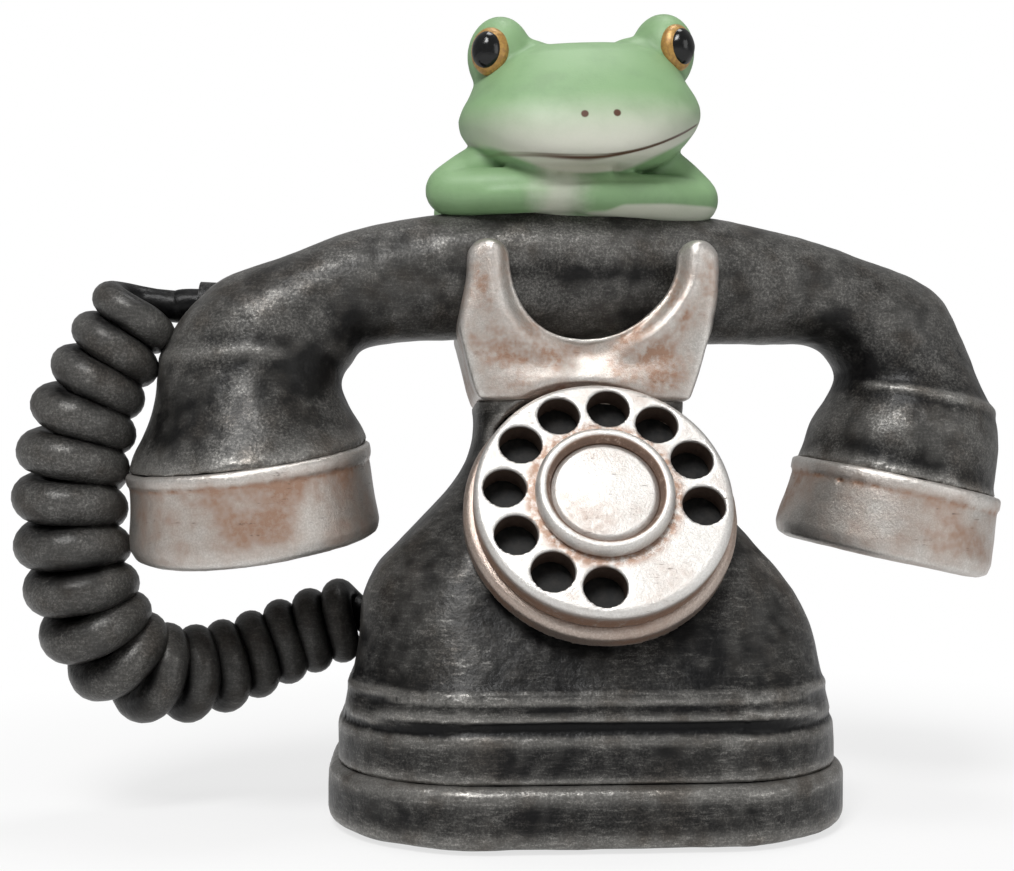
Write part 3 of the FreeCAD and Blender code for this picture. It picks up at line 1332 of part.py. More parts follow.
def make_frog(skin, dowel_holes):
    """Frog that leans on the bar with folded arms, and its eyes."""
    across = Vector(1, 0, 0)
    top = "bar_height + bar_half_height"
    lumps = [
        egg("frog_head", ("head_half_width", "head_half_depth", "head_half_height * 0.83"),
            "0", "-2", "head_height"),
        egg("frog_crown", ("head_half_width * 0.8", "head_half_depth * 0.84", "head_half_height"), "0", "2",
            "head_height + 1.5"),
        egg("frog_muzzle", ("head_half_width * 0.8", "head_half_depth * 0.75", "head_half_height * 0.62"),
            "0",
            "-10", "head_height - 6"),
        egg("frog_throat", ("head_half_width * 0.72", "20", "13"), "0", "-3", top + " + 9"),
        egg("frog_back", ("body_half_width", "rump_back", "17"), "0", "14", top + " + 12", across, "340"),
        egg("frog_seat", ("body_half_width * 0.84", "15", "11"), "0", "28", top + " + 4"),
    ]
    mounds = []
    for name, sign in (("left", "-"), ("right", "")):
        mounds.append(ball("eye_mound_" + name, "eye_mound",
                           sign + "eye_spread", "-mound_row", "eye_height + 1.5"))
        lumps.append(mounds[-1])
        hip = (sign + "30.6", "30", top + " + 5")
        lap = (sign + "23.4", "10", top + " + 5")
        shoulder = (sign + "24", "4", top + " + 13")
        elbow = (sign + "elbow_spread", "-6", top + " + 3.6")
        wrist = (sign + "5", "-16.5", top + " + 2.6")
        knee = (sign + "34", "5", top + " + 4.5")
        heel = (sign + "30", "30", top + " + 1.5")
        toes = (sign + "39", "13", top + " - 0.5")
        lumps.append(limb("frog_thigh_" + name, hip, lap, "8.5"))
        lumps.append(limb("frog_upper_arm_" + name, shoulder, elbow, "arm_radius + 1.4"))
        lumps.append(limb("frog_fore_arm_" + name, elbow, wrist, "arm_radius - 0.4"))
        lumps.append(limb("frog_shin_" + name, knee, heel, "5"))
        lumps.append(limb("frog_foot_" + name, heel, toes, "3.8"))
    figure = fuse("frog_figure_solid", lumps, refine=False)
    rings, beads = [], []
    for index, (name, sign, turn) in enumerate((("left", "-", -1), ("right", "", 1))):
        axis = Vector(0, 0, turn)
        at = (sign + "(eye_spread + eye_out * sin(eye_turn))",
              "-mound_row - eye_out * cos(eye_turn)", "eye_height")
        ahead = (sign + "(eye_spread + (eye_out + pupil_out) * sin(eye_turn))",
                 "-mound_row - (eye_out + pupil_out) * cos(eye_turn)", "eye_height")
        white = egg("eye_white_" + name, ("5.1", "4.2", "6.3"), *at, axis, "eye_turn")
        pupil = egg("pupil_" + name, ("4.0", "4.2", "5.1"), *ahead, axis, "eye_turn")
        behind = fuse("behind_eye_" + name, [lumps[0], lumps[1], mounds[index]], refine=False)
        beads.append(cut("pupil_cut_" + name, pupil, behind, refine=False))
        around = fuse("around_ring_" + name, [lumps[0], lumps[1], mounds[index], pupil], refine=False)
        rings.append(cut("eye_ring_" + name, white, around, refine=False))
    seated = cut("frog_seated", figure, skin, refine=False)
    holes = fuse("frog_dowel_holes", dowel_holes)
    keep("frog_figure", on_handset(cut("frog_cut", seated, holes, refine=False)))
    keep("frog_eye_rings", on_handset(group("eye_ring_pair", rings)))
    keep("frog_eyes", on_handset(group("pupil_pair", beads)))


coil = CoilPath()
sleeve = size("sleeve_length")
cord, cord_begin, cord_leaving, cord_finish, cord_arrival = cord_shape(coil, 29.0, 15.0)
cord_heading = cord_leaving * -1
hole_in_body = Part.makeCylinder(
    size("wire_radius + sleeve_wall + 0.02"), 60, cord_finish - cord_arrival * 30, cord_arrival
)
make_foot()
keep("housing_shell", fixed_shape("housing_solid", housing_shape(hole_in_body)))
make_cradle()
make_hook_switch()
make_dial()
make_ringer()
make_board()
handset_skin, dowels = make_handset(cord_begin - cord_heading * sleeve, cord_heading)
make_frog(handset_skin, dowels)
keep("curly_cord", fixed_shape("curly_cord_solid", cord))
base_sleeve = sleeve_shape(cord_finish, cord_arrival * -1, 0.0, sleeve)
handset_sleeve = sleeve_shape(cord_begin, cord_heading * -1, 0.0, sleeve)
keep("cord_sleeve_base", fixed_shape("base_sleeve", base_sleeve))
keep("cord_sleeve_handset", fixed_shape("handset_sleeve", handset_sleeve))

doc.recompute()
for item in doc.Objects:
    if "Invalid" in item.State or "Error" in item.State:
        raise RuntimeError("%s did not build: %s" % (item.Label, item.State))
for label, item in PIECES.items():
    shape = item.Shape
    if shape.isNull() or not shape.isValid() or not shape.Solids:
        raise RuntimeError("%s has no sound solid" % label)
    shape.exportStep("parts/%s.step" % label)
    print("%-20s solids %2d  volume %10.1f" % (label, len(shape.Solids), shape.Volume))
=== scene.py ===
"""Frog telephone: castings, finishes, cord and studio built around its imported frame."""

import json
import logging
import math
from dataclasses import dataclass, field
from enum import Enum
from typing import Any, Callable, Optional, Sequence, Union

import bmesh
import bpy
import numpy as np
from mathutils import Matrix, Vector, noise


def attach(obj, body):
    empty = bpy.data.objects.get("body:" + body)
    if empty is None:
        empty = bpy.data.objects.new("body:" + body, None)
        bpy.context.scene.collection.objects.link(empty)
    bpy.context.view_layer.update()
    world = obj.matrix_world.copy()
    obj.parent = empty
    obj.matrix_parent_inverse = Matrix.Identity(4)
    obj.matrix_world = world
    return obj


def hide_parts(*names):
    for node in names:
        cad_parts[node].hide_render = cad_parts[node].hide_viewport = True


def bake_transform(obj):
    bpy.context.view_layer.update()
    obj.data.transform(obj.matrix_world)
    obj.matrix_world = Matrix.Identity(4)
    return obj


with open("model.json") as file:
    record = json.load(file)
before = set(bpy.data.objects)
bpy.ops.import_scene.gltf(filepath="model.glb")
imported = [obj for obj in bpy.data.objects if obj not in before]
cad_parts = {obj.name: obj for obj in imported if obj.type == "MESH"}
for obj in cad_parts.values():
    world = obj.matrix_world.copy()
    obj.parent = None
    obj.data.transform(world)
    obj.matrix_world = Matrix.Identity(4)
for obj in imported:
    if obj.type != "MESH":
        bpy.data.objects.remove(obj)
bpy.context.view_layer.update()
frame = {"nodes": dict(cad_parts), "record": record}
LOG = logging.getLogger("frog_telephone")
MM = 0.001

Colour = tuple[float, float, float]
Point = tuple[float, float, float]
Range = tuple[float, float]
Number = Union[float, np.ndarray]
Settings = dict[str, Any]
Inputs = dict[Union[int, str], Any]
WHITE: Colour = (1.0, 1.0, 1.0)


class Body(Enum):
    """Moving bodies that pieces ride on."""

    BASE = "base"
    DIAL = "dial"
    HANDSET = "handset"


class Wear(Enum):
    """Names of the mesh attributes that finishes read."""

    RIDGE = "ridge"
    HOLLOW = "hollow"
    # Convex crests where the dry brush lands; on the cord this attribute also holds painted shade for the
    # run that lies in shadow.
    CREST_AND_SHADE = "crest_and_shade"


@dataclass(frozen=True)
class DialSizes:
    """Place and sizes of the leaning dial, in millimetres and degrees."""

    reach: float = 42.4
    height: float = 83.6
    lean: float = 27.5
    hole_inner: float = 18.4
    hole_outer: float = 29.9
    hub_foot: float = 17.2
    hub_groove: float = 13.7
    wheel_edge: Range = (30.4, 31.3)


@dataclass(frozen=True)
class FrogSizes:
    """Frog's pose and the places on its face, in millimetres and degrees."""

    yaw: float = 6.0
    roll: float = 4.2
    middle: float = -1.9
    smile_height: float = 169.2
    smile_bow: float = 0.0118
    smile_reach: Range = (28.5, 31.0)
    chin: Range = (166.2, 167.2)
    chin_bow: float = 0.0125
    muzzle: Range = (171.0, 188.0)
    chest_left: float = 8.5
    arms: Range = (157.0, 163.0)
    hem: Range = (156.2, 157.2)
    nostril_height: float = 179.6
    nostril_spread: float = 4.2
    nostril: Range = (0.75, 1.2)


DIAL = DialSizes()
FROG = FrogSizes()


class Wire:
    """A node's output socket, with operators that add Math nodes."""

    def __init__(self, bench: "Bench", socket: bpy.types.NodeSocket) -> None:
        """Keep the socket and the bench that it belongs to."""
        self.bench = bench
        self.socket = socket

    def math(self, operation: str, *others: Any, clamp: bool = False, swap: bool = False) -> "Wire":
        """Combine this value with others.

        Args:
            operation: Math node operation.
            others: Numbers or wires.
            clamp: Whether the result is held between 0 and 1.
            swap: Whether this value comes second.

        Returns:
            The Math node's output.
        """
        values = [self, *others]
        if swap:
            values.reverse()
        settings = {"operation": operation, "use_clamp": clamp}
        return self.bench.add("ShaderNodeMath", settings, dict(enumerate(values)))

    def __add__(self, other: Any) -> "Wire":
        """Sum."""
        return self.math("ADD", other)

    def __sub__(self, other: Any) -> "Wire":
        """Difference."""
        return self.math("SUBTRACT", other)

    def __rsub__(self, other: Any) -> "Wire":
        """Difference, reflected."""
        return self.math("SUBTRACT", other, swap=True)

    def __mul__(self, other: Any) -> "Wire":
        """Product."""
        return self.math("MULTIPLY", other)

    __radd__ = __add__
    __rmul__ = __mul__

    def other(self, name: str) -> "Wire":
        """Another output of the same node."""
        return Wire(self.bench, self.socket.node.outputs[name])

    def held(self) -> "Wire":
        """Value held between 0 and 1."""
        return self.math("ADD", 0.0, clamp=True)

    def most(self, other: Any) -> "Wire":
        """Larger of two values."""
        return self.math("MAXIMUM", other)

    def rise(self, low: float, high: float) -> "Wire":
        """Smooth step from 0 at low to 1 at high.

        Args:
            low: Value where the step starts.
            high: Value where the step ends.

        Returns:
            A value between 0 and 1.
        """
        settings = {"interpolation_type": "SMOOTHSTEP"}
        return self.bench.add("ShaderNodeMapRange", settings, {0: self, 1: low, 2: high, 3: 0.0, 4: 1.0})

    def fall(self, low: float, high: float) -> "Wire":
        """Smooth step from 1 at low to 0 at high."""
        return 1.0 - self.rise(low, high)

    def size(self) -> "Wire":
        """Value without its sign."""
        return self.math("ABSOLUTE")

    def root(self) -> "Wire":
        """Square root."""
        return self.math("SQRT")


class Bench:
    """A node tree, and the one way that nodes are added to it."""

    def __init__(self, tree: bpy.types.NodeTree) -> None:
        """Start with an empty tree."""
        self.tree = tree
        tree.nodes.clear()

    def node(
        self, kind: str, settings: Optional[Settings] = None, inputs: Optional[Inputs] = None
    ) -> bpy.types.Node:
        """Add a node.

        Args:
            kind: Node type.
            settings: Node properties, set first.
            inputs: Values or wires by socket name or index.

        Returns:
            The node.
        """
        node = self.tree.nodes.new(kind)
        for key, value in (settings or {}).items():
            setattr(node, key, value)
        for key, value in (inputs or {}).items():
            socket = node.inputs[key]
            if isinstance(value, Wire):
                self.tree.links.new(value.socket, socket)
            elif isinstance(value, tuple) and socket.type == "RGBA":
                socket.default_value = (*value, 1.0)
            else:
                socket.default_value = value
        return node

    def add(
        self,
        kind: str,
        settings: Optional[Settings] = None,
        inputs: Optional[Inputs] = None,
        out: Union[int, str] = 0,
    ) -> Wire:
        """Add a node and take one of its outputs.

        Args:
            kind: Node type.
            settings: Node properties.
            inputs: Values or wires by socket name or index.
            out: Name or index of the output.

        Returns:
            That output.
        """
        return Wire(self, self.node(kind, settings, inputs).outputs[out])


class Paint(Bench):
    """A material's node tree."""

    def __init__(self, name: str) -> None:
        """Start a named material."""
        self.material = bpy.data.materials.new(name)
        self.material.use_nodes = True
        super().__init__(self.material.node_tree)

    def place(self) -> Wire:
        """Object coordinates in millimetres."""
        spot = self.add("ShaderNodeTexCoord", out="Object")
        return self.add("ShaderNodeVectorMath", {"operation": "SCALE"}, {0: spot, "Scale": 1.0 / MM})

    def stretch(self, place: Wire, scale: Point) -> Wire:
        """Coordinates scaled apart along the three axes."""
        return self.add("ShaderNodeVectorMath", {"operation": "MULTIPLY"}, {0: place, 1: scale})

    def axis(self, place: Wire, name: str) -> Wire:
        """One coordinate of a place."""
        return self.add("ShaderNodeSeparateXYZ", None, {0: place}, name)

    def cloud(self, place: Wire, scale: float, detail: float = 3.0, rough: float = 0.55) -> Wire:
        """Noise between about 0 and 1."""
        inputs = {"Vector": place, "Scale": scale, "Detail": detail, "Roughness": rough}
        return self.add("ShaderNodeTexNoise", None, inputs)

    def wear(self, kind: Wear) -> Wire:
        """A wear attribute of the mesh."""
        return self.add("ShaderNodeAttribute", {"attribute_name": kind.value}, None, "Fac")

    def blend(self, share: Any, first: Any, second: Any) -> Wire:
        """Mix of two colours."""
        return self.add("ShaderNodeMix", {"data_type": "RGBA"}, {0: share, 6: first, 7: second}, 2)

    def dent(self, height: Wire, depth: float) -> Wire:
        """Normal bumped by a height in millimetres."""
        return self.add("ShaderNodeBump", None, {"Height": height, "Distance": depth * MM, "Strength": 1.0})

    def finish(self, **sockets: Any) -> bpy.types.Material:
        """Close the tree with a surface shader.

        Args:
            sockets: Values or wires by the shader's socket name, with _ for a space.

        Returns:
            The finished material.
        """
        inputs = {key.replace("_", " "): value for key, value in sockets.items()}
        return self.close(self.add("ShaderNodeBsdfPrincipled", None, inputs))

    def close(self, shader: Wire) -> bpy.types.Material:
        """Join a shader to the material's output."""
        self.node("ShaderNodeOutputMaterial", None, {"Surface": shader})
        return self.material


@dataclass(frozen=True)
class DryBrushedBlack:
    """Black paint with silver brushed over it: fine specks, streaks and bright ridges."""

    name: str
    ground: Colour = (0.003, 0.003, 0.0034)
    shade: Colour = (0.0072, 0.007, 0.0067)
    silver: Colour = (0.50, 0.485, 0.455)
    brown: Colour = (0.17, 0.13, 0.095)
    cover: float = 0.5
    streaks: float = 0.0
    edge: float = 0.7
    stroke_shape: Point = (0.24, 0.24, 1.3)
    gloss: float = 0.15
    dent_depth: float = 0.3

    def make(self) -> bpy.types.Material:
        """Build the material."""
        bench = Paint(self.name)
        place = bench.place()
        broad = bench.cloud(place, 0.04, 3.0, 0.6)
        crest_and_shade = bench.wear(Wear.CREST_AND_SHADE)
        # Silver patches follow the crests; on the cord this attribute also holds painted shade that keeps
        # silver off its shadowed run.
        patch = (bench.cloud(place, 0.07, 4.0, 0.65) + crest_and_shade * 0.22).rise(0.45, 0.64)
        fine = bench.cloud(place, 1.5, 3.0, 0.6)
        dust = bench.cloud(place, 3.2, 2.0, 0.6)
        speck = (0.09 + fine.rise(0.38, 0.76) * 0.47) * (0.5 + dust.rise(0.42, 0.62) * 0.5)
        strokes = bench.cloud(bench.stretch(place, self.stroke_shape), 1.0, 5.0, 0.72)
        brush = strokes.rise(0.48, 0.68) * (0.25 + dust.rise(0.4, 0.6) * 0.75)
        ridge = bench.wear(Wear.RIDGE)
        hollow = bench.wear(Wear.HOLLOW)
        cover = speck * (0.05 + patch * 0.95) * self.cover
        cover = cover + brush * (0.2 + patch * 0.8) * self.streaks
        cover = cover + ridge * (0.25 + speck * 0.55 + brush * 0.3) * self.edge
        cover = (cover * (1.0 - hollow * 0.8)).held()
        ground = bench.blend((broad.rise(0.36, 0.68) * (1.0 - hollow)).held(), self.ground, self.shade)
        tint = bench.cloud(place, 0.11, 3.0).rise(0.45, 0.7) * 0.55
        silver = bench.blend(tint, self.silver, self.brown)
        colour = bench.blend(cover, ground, silver)
        height = dust * 0.05 + fine * 0.2 + bench.cloud(place, 0.35, 2.0) * 0.7
        return bench.finish(
            Base_Color=colour,
            Metallic=(cover * 1.3).held(),
            Roughness=(0.27 + fine * 0.14).held(),
            Specular_IOR_Level=self.gloss,
            Normal=bench.dent(height, self.dent_depth),
        )


@dataclass(frozen=True)
class RubbedSilver:
    """Silver leaf paint with copper and brown rubbed into it and dark scuffs."""

    name: str
    silver: Colour = (0.46, 0.44, 0.41)
    pale: Colour = (0.74, 0.72, 0.69)
    copper: Colour = (0.31, 0.19, 0.132)
    umber: Colour = (0.045, 0.026, 0.017)
    rub: float = 0.55
    wash: float = 0.2
    scuff: float = 0.35
    rough: float = 0.24
    holes: bool = False
    stroke_shape: Point = (0.16, 0.16, 1.5)
    dent_depth: float = 0.2

    def make(self) -> bpy.types.Material:
        """Build the material."""
        bench = Paint(self.name)
        place = bench.place()
        patch = bench.cloud(place, 0.06, 3.0, 0.6)
        small = bench.cloud(place, 0.5, 6.0, 0.75)
        grain = bench.cloud(place, 2.0, 3.0, 0.7)
        ridge = bench.wear(Wear.RIDGE)
        hollow = bench.wear(Wear.HOLLOW)
        rub = patch.rise(0.36, 0.68) * small.rise(0.3, 0.66) * self.rub + patch.rise(0.2, 0.75) * self.wash
        rub = rub + hollow.rise(0.05, 0.6) * (0.2 + small * 0.9)
        rub = (rub * (1.0 - ridge * 0.75)).held()
        strokes = bench.cloud(bench.stretch(place, self.stroke_shape), 0.9, 3.0, 0.6).rise(0.6, 0.7)
        scuff = (strokes * small.rise(0.48, 0.6) * self.scuff).held()
        base = bench.blend((grain.rise(0.4, 0.66) * 0.55 + ridge * 0.45).held(), self.silver, self.pale)
        colour = bench.blend(rub, base, self.copper)
        dark = (hollow.rise(0.3, 1.0) * 0.85 + scuff).held()
        if self.holes:
            away, out = self.dial_place(bench, place)
            colour = bench.blend(self.hub_rub(away, out, small), colour, self.copper)
            groove = self.ring_share(away, DIAL.hub_groove, 0.3, 0.8) * small.rise(0.25, 0.55) * 0.6
            dark = dark.most(self.hole_paint(away, out)).most(groove)
        colour = bench.blend(dark, colour, self.umber)
        return bench.finish(
            Base_Color=colour,
            Metallic=(0.82 - rub * 0.35 - dark * 0.65).held(),
            Roughness=(self.rough + grain * 0.14 + rub * 0.1 + dark * 0.2).held(),
            Normal=bench.dent(grain * 0.25 + small * 0.8, self.dent_depth),
        )

    def dial_place(self, bench: Paint, place: Wire) -> tuple[Wire, Wire]:
        """Distance from the dial's axis and height over its face.

        Args:
            bench: The material's bench.
            place: Object coordinates in millimetres.

        Returns:
            Both in millimetres.
        """
        lean = math.radians(DIAL.lean)
        x, y, z = (bench.axis(place, name) for name in "XYZ")
        up = (y + DIAL.reach) * math.sin(lean) + (z - DIAL.height) * math.cos(lean)
        out = (z - DIAL.height) * math.sin(lean) - (y + DIAL.reach) * math.cos(lean)
        return (x * x + up * up).root(), out

    def hub_rub(self, away: Wire, out: Wire, small: Wire) -> Wire:
        """Copper left around the hub's foot, in the groove inside it and down the wheel's side.

        Args:
            away: Distance from the dial's axis in millimetres.
            out: Height over the dial's face.
            small: Noise that breaks the rings up.

        Returns:
            Share of copper.
        """
        foot = self.ring_share(away, DIAL.hub_foot, 0.8, 3.6) * out.fall(0.5, 1.4)
        groove = self.ring_share(away, DIAL.hub_groove, 0.4, 1.0)
        side = away.rise(*DIAL.wheel_edge) * out.fall(-4.0, -0.6) * small.rise(0.15, 0.5)
        return (foot * small.rise(0.32, 0.58) * 0.95).most(groove * small.rise(0.2, 0.45) * 0.95).most(side)

    def ring_share(self, away: Wire, radius: float, full: float, none: float) -> Wire:
        """Share of paint on a ring about the dial's axis.

        Args:
            away: Distance from the axis in millimetres.
            radius: Radius of the ring.
            full: Distance from the ring where the paint starts to thin.
            none: Distance where it ends.

        Returns:
            A value between 0 and 1.
        """
        return (away - radius).size().fall(full, none)

    def hole_paint(self, away: Wire, out: Wire) -> Wire:
        """Black paint inside the finger holes: everything below the wheel's face and inside its rim.

        Args:
            away: Distance from the dial's axis in millimetres.
            out: Height over the dial's face.

        Returns:
            Share of black paint.
        """
        inside = away.fall(DIAL.hole_outer - 0.1, DIAL.hole_outer + 0.3)
        inside = inside * away.rise(DIAL.hole_inner - 0.4, DIAL.hole_inner)
        return inside * out.fall(-1.1, -0.4)


@dataclass(frozen=True)
class PlainFinish:
    """One-colour finish with a little mottling and grain."""

    name: str
    colour: Colour
    other: Colour
    rough: float
    metal: float = 0.0
    shine: float = 0.5
    grain: float = 1.2

    def make(self) -> bpy.types.Material:
        """Build the material."""
        bench = Paint(self.name)
        place = bench.place()
        spots = bench.cloud(place, self.grain, 4.0, 0.6)
        return bench.finish(
            Base_Color=bench.blend(spots.rise(0.35, 0.7), self.colour, self.other),
            Metallic=self.metal,
            Roughness=(spots * 0.16 + (self.rough - 0.08)).held(),
            Specular_IOR_Level=self.shine,
            Normal=bench.dent(spots, 0.05),
        )


def face_place(x: Any, y: Any, z: Any) -> tuple[Any, Any, Any]:
    """Place on the frog's face, for wires and for arrays.

    Args:
        x: Coordinate to the right in millimetres.
        y: Coordinate to the rear.
        z: Height.

    Returns:
        Distance to the right of the frog's middle, distance in front of the handset's middle plane, and
        height with the head's roll taken out.
    """
    yaw, roll = math.radians(FROG.yaw), math.tan(math.radians(FROG.roll))
    across = x * math.cos(yaw) + y * math.sin(yaw) - FROG.middle
    ahead = x * math.sin(yaw) - y * math.cos(yaw)
    return across, ahead, z - across * roll


@dataclass(frozen=True)
class FrogSkin:
    """Satin green paint that fades to off-white over the muzzle and chest, with a painted smile, and painted
    shade in its hollows and under its arms.
    """

    name: str
    green: Colour = (0.225, 0.365, 0.185)
    mottle_and_shade: Colour = (0.115, 0.215, 0.095)
    pale: Colour = (0.56, 0.565, 0.485)
    pale_in_shade: Colour = (0.33, 0.33, 0.25)
    line: Colour = (0.085, 0.035, 0.02)

    def make(self) -> bpy.types.Material:
        """Build the material."""
        bench = Paint(self.name)
        place = bench.place()
        x, y, z = (bench.axis(place, name) for name in "XYZ")
        across, ahead, level = face_place(x, y, z)
        soft = bench.cloud(place, 0.1, 3.0)
        fine = bench.cloud(place, 1.6, 4.0, 0.65)
        head = (level - across * across * FROG.chin_bow).rise(*FROG.chin)
        muzzle = (level + (soft - 0.5) * 6.0).fall(*FROG.muzzle)
        chest = (across + FROG.chest_left + (soft - 0.5) * 10.0).size().fall(1.0, 10.0)
        hem = (level - across.rise(3.0, 9.0) * 1.2).fall(*FROG.hem)
        # Painted shade: the undersides of the folded arms are darkened.
        under = (1.0 - head) * level.fall(*FROG.arms)
        low = ((chest * 0.75).most(hem * 0.8) * ahead.rise(2.0, 12.0)).held()
        share = head * muzzle * ahead.rise(-2.0, 6.0) + (1.0 - head) * low
        share = (share + (soft - 0.5) * 0.2 + (fine - 0.5) * 0.12).held()
        hollow = bench.wear(Wear.HOLLOW)
        # Darker green from random mottling, plus painted shade in the hollows and under the arms.
        mottle_and_shade = hollow * 0.85 + soft.rise(0.4, 0.75) * 0.35 + under * 0.45
        green = bench.blend(mottle_and_shade.held(), self.green, self.mottle_and_shade)
        # Painted shade: the pale paint is darkened in the hollows.
        pale = bench.blend((hollow * 0.8).held(), self.pale, self.pale_in_shade)
        colour = bench.blend(share, green, pale)
        colour = bench.blend(self.lines(across, ahead, level), colour, self.line)
        return bench.finish(
            Base_Color=colour,
            Roughness=(0.4 + fine * 0.12).held(),
            Specular_IOR_Level=0.35,
            Normal=bench.dent(fine, 0.06),
        )

    def lines(self, across: Wire, ahead: Wire, level: Wire) -> Wire:
        """Painted smile and nostrils.

        Args:
            across: Distance to the right of the frog's middle in millimetres.
            ahead: Distance in front of the handset's middle plane.
            level: Height with the head's roll taken out.

        Returns:
            Share of the dark line colour.
        """
        side = across.rise(-3.0, 3.0) * 0.4 + 0.6
        bow = level - across * across * side * FROG.smile_bow - FROG.smile_height
        near = across.size().fall(*FROG.smile_reach) * ahead.rise(4.0, 8.0)
        smile = bow.size().fall(0.05, 0.4) * near * across.rise(-34.0, -4.0)
        spot = (across.size() - FROG.nostril_spread).size()
        drop = level - FROG.nostril_height
        nostril = (spot * spot + drop * drop).root().fall(*FROG.nostril) * ahead.rise(16.0, 20.0)
        return smile.most(nostril)


class Finishes:
    """Every finish, made once."""

    def __init__(self) -> None:
        """Build all materials."""
        self.body = DryBrushedBlack("black_body_paint", cover=0.38, edge=0.7).make()
        self.tiers = DryBrushedBlack("black_tier_paint", cover=0.2, streaks=0.17, edge=0.9).make()
        self.handset = DryBrushedBlack("black_handset_paint", cover=0.46, streaks=0.04, edge=0.9).make()
        self.cord = DryBrushedBlack("black_cord_paint", cover=0.34, edge=0.6).make()
        self.silver = RubbedSilver("silver_leaf", rub=0.95, wash=0.26).make()
        self.dial = RubbedSilver(
            "silver_dial", (0.56, 0.54, 0.515), (0.76, 0.745, 0.72),
            rub=0.5, wash=0.06, scuff=0.6, rough=0.36, holes=True,
        ).make()
        self.cap = RubbedSilver("silver_cap", rub=0.55, wash=0.75, scuff=0.6).make()
        self.bezel = RubbedSilver(
            "silver_bezel", (0.31, 0.245, 0.21), (0.52, 0.45, 0.40), (0.27, 0.145, 0.09),
            rub=0.7, wash=0.8, scuff=0.3,
        ).make()
        self.frog = FrogSkin("frog_paint").make()
        self.plate = PlainFinish(
            "plate_black", (0.005, 0.005, 0.005), (0.02, 0.018, 0.016), 0.55, shine=0.25, grain=0.5
        ).make()
        self.pupil = PlainFinish(
            "pupil_black", (0.004, 0.004, 0.004), (0.006, 0.006, 0.007), 0.12, shine=0.35
        ).make()
        self.gold = PlainFinish("eye_gold", (0.43, 0.245, 0.06), (0.27, 0.14, 0.04), 0.4, 0.25).make()
        self.rubber = PlainFinish("foot_rubber", (0.018, 0.018, 0.018), (0.03, 0.03, 0.03), 0.8).make()
        self.plastic = PlainFinish("inner_plastic", (0.03, 0.03, 0.032), (0.05, 0.05, 0.052), 0.5).make()
        self.board = PlainFinish("board_lacquer", (0.02, 0.13, 0.045), (0.03, 0.17, 0.06), 0.35).make()
        self.steel = PlainFinish("bright_steel", (0.52, 0.52, 0.53), (0.6, 0.6, 0.61), 0.32, 1.0).make()
        self.brass = PlainFinish("bright_brass", (0.62, 0.42, 0.16), (0.7, 0.5, 0.22), 0.3, 1.0).make()

    def by_slot(self, slot: str) -> bpy.types.Material:
        """Finish that a CAD node takes from its slot in the record."""
        return {
            "black_shell": self.body, "silver_trim": self.silver, "dark_plate": self.plate,
            "frog_green": self.frog, "eye_gold": self.gold, "eye_black": self.pupil, "cord_black": self.cord,
            "foot_rubber": self.rubber, "inner_plastic": self.plastic, "board_green": self.board,
            "steel": self.steel, "brass": self.brass,
        }[slot]


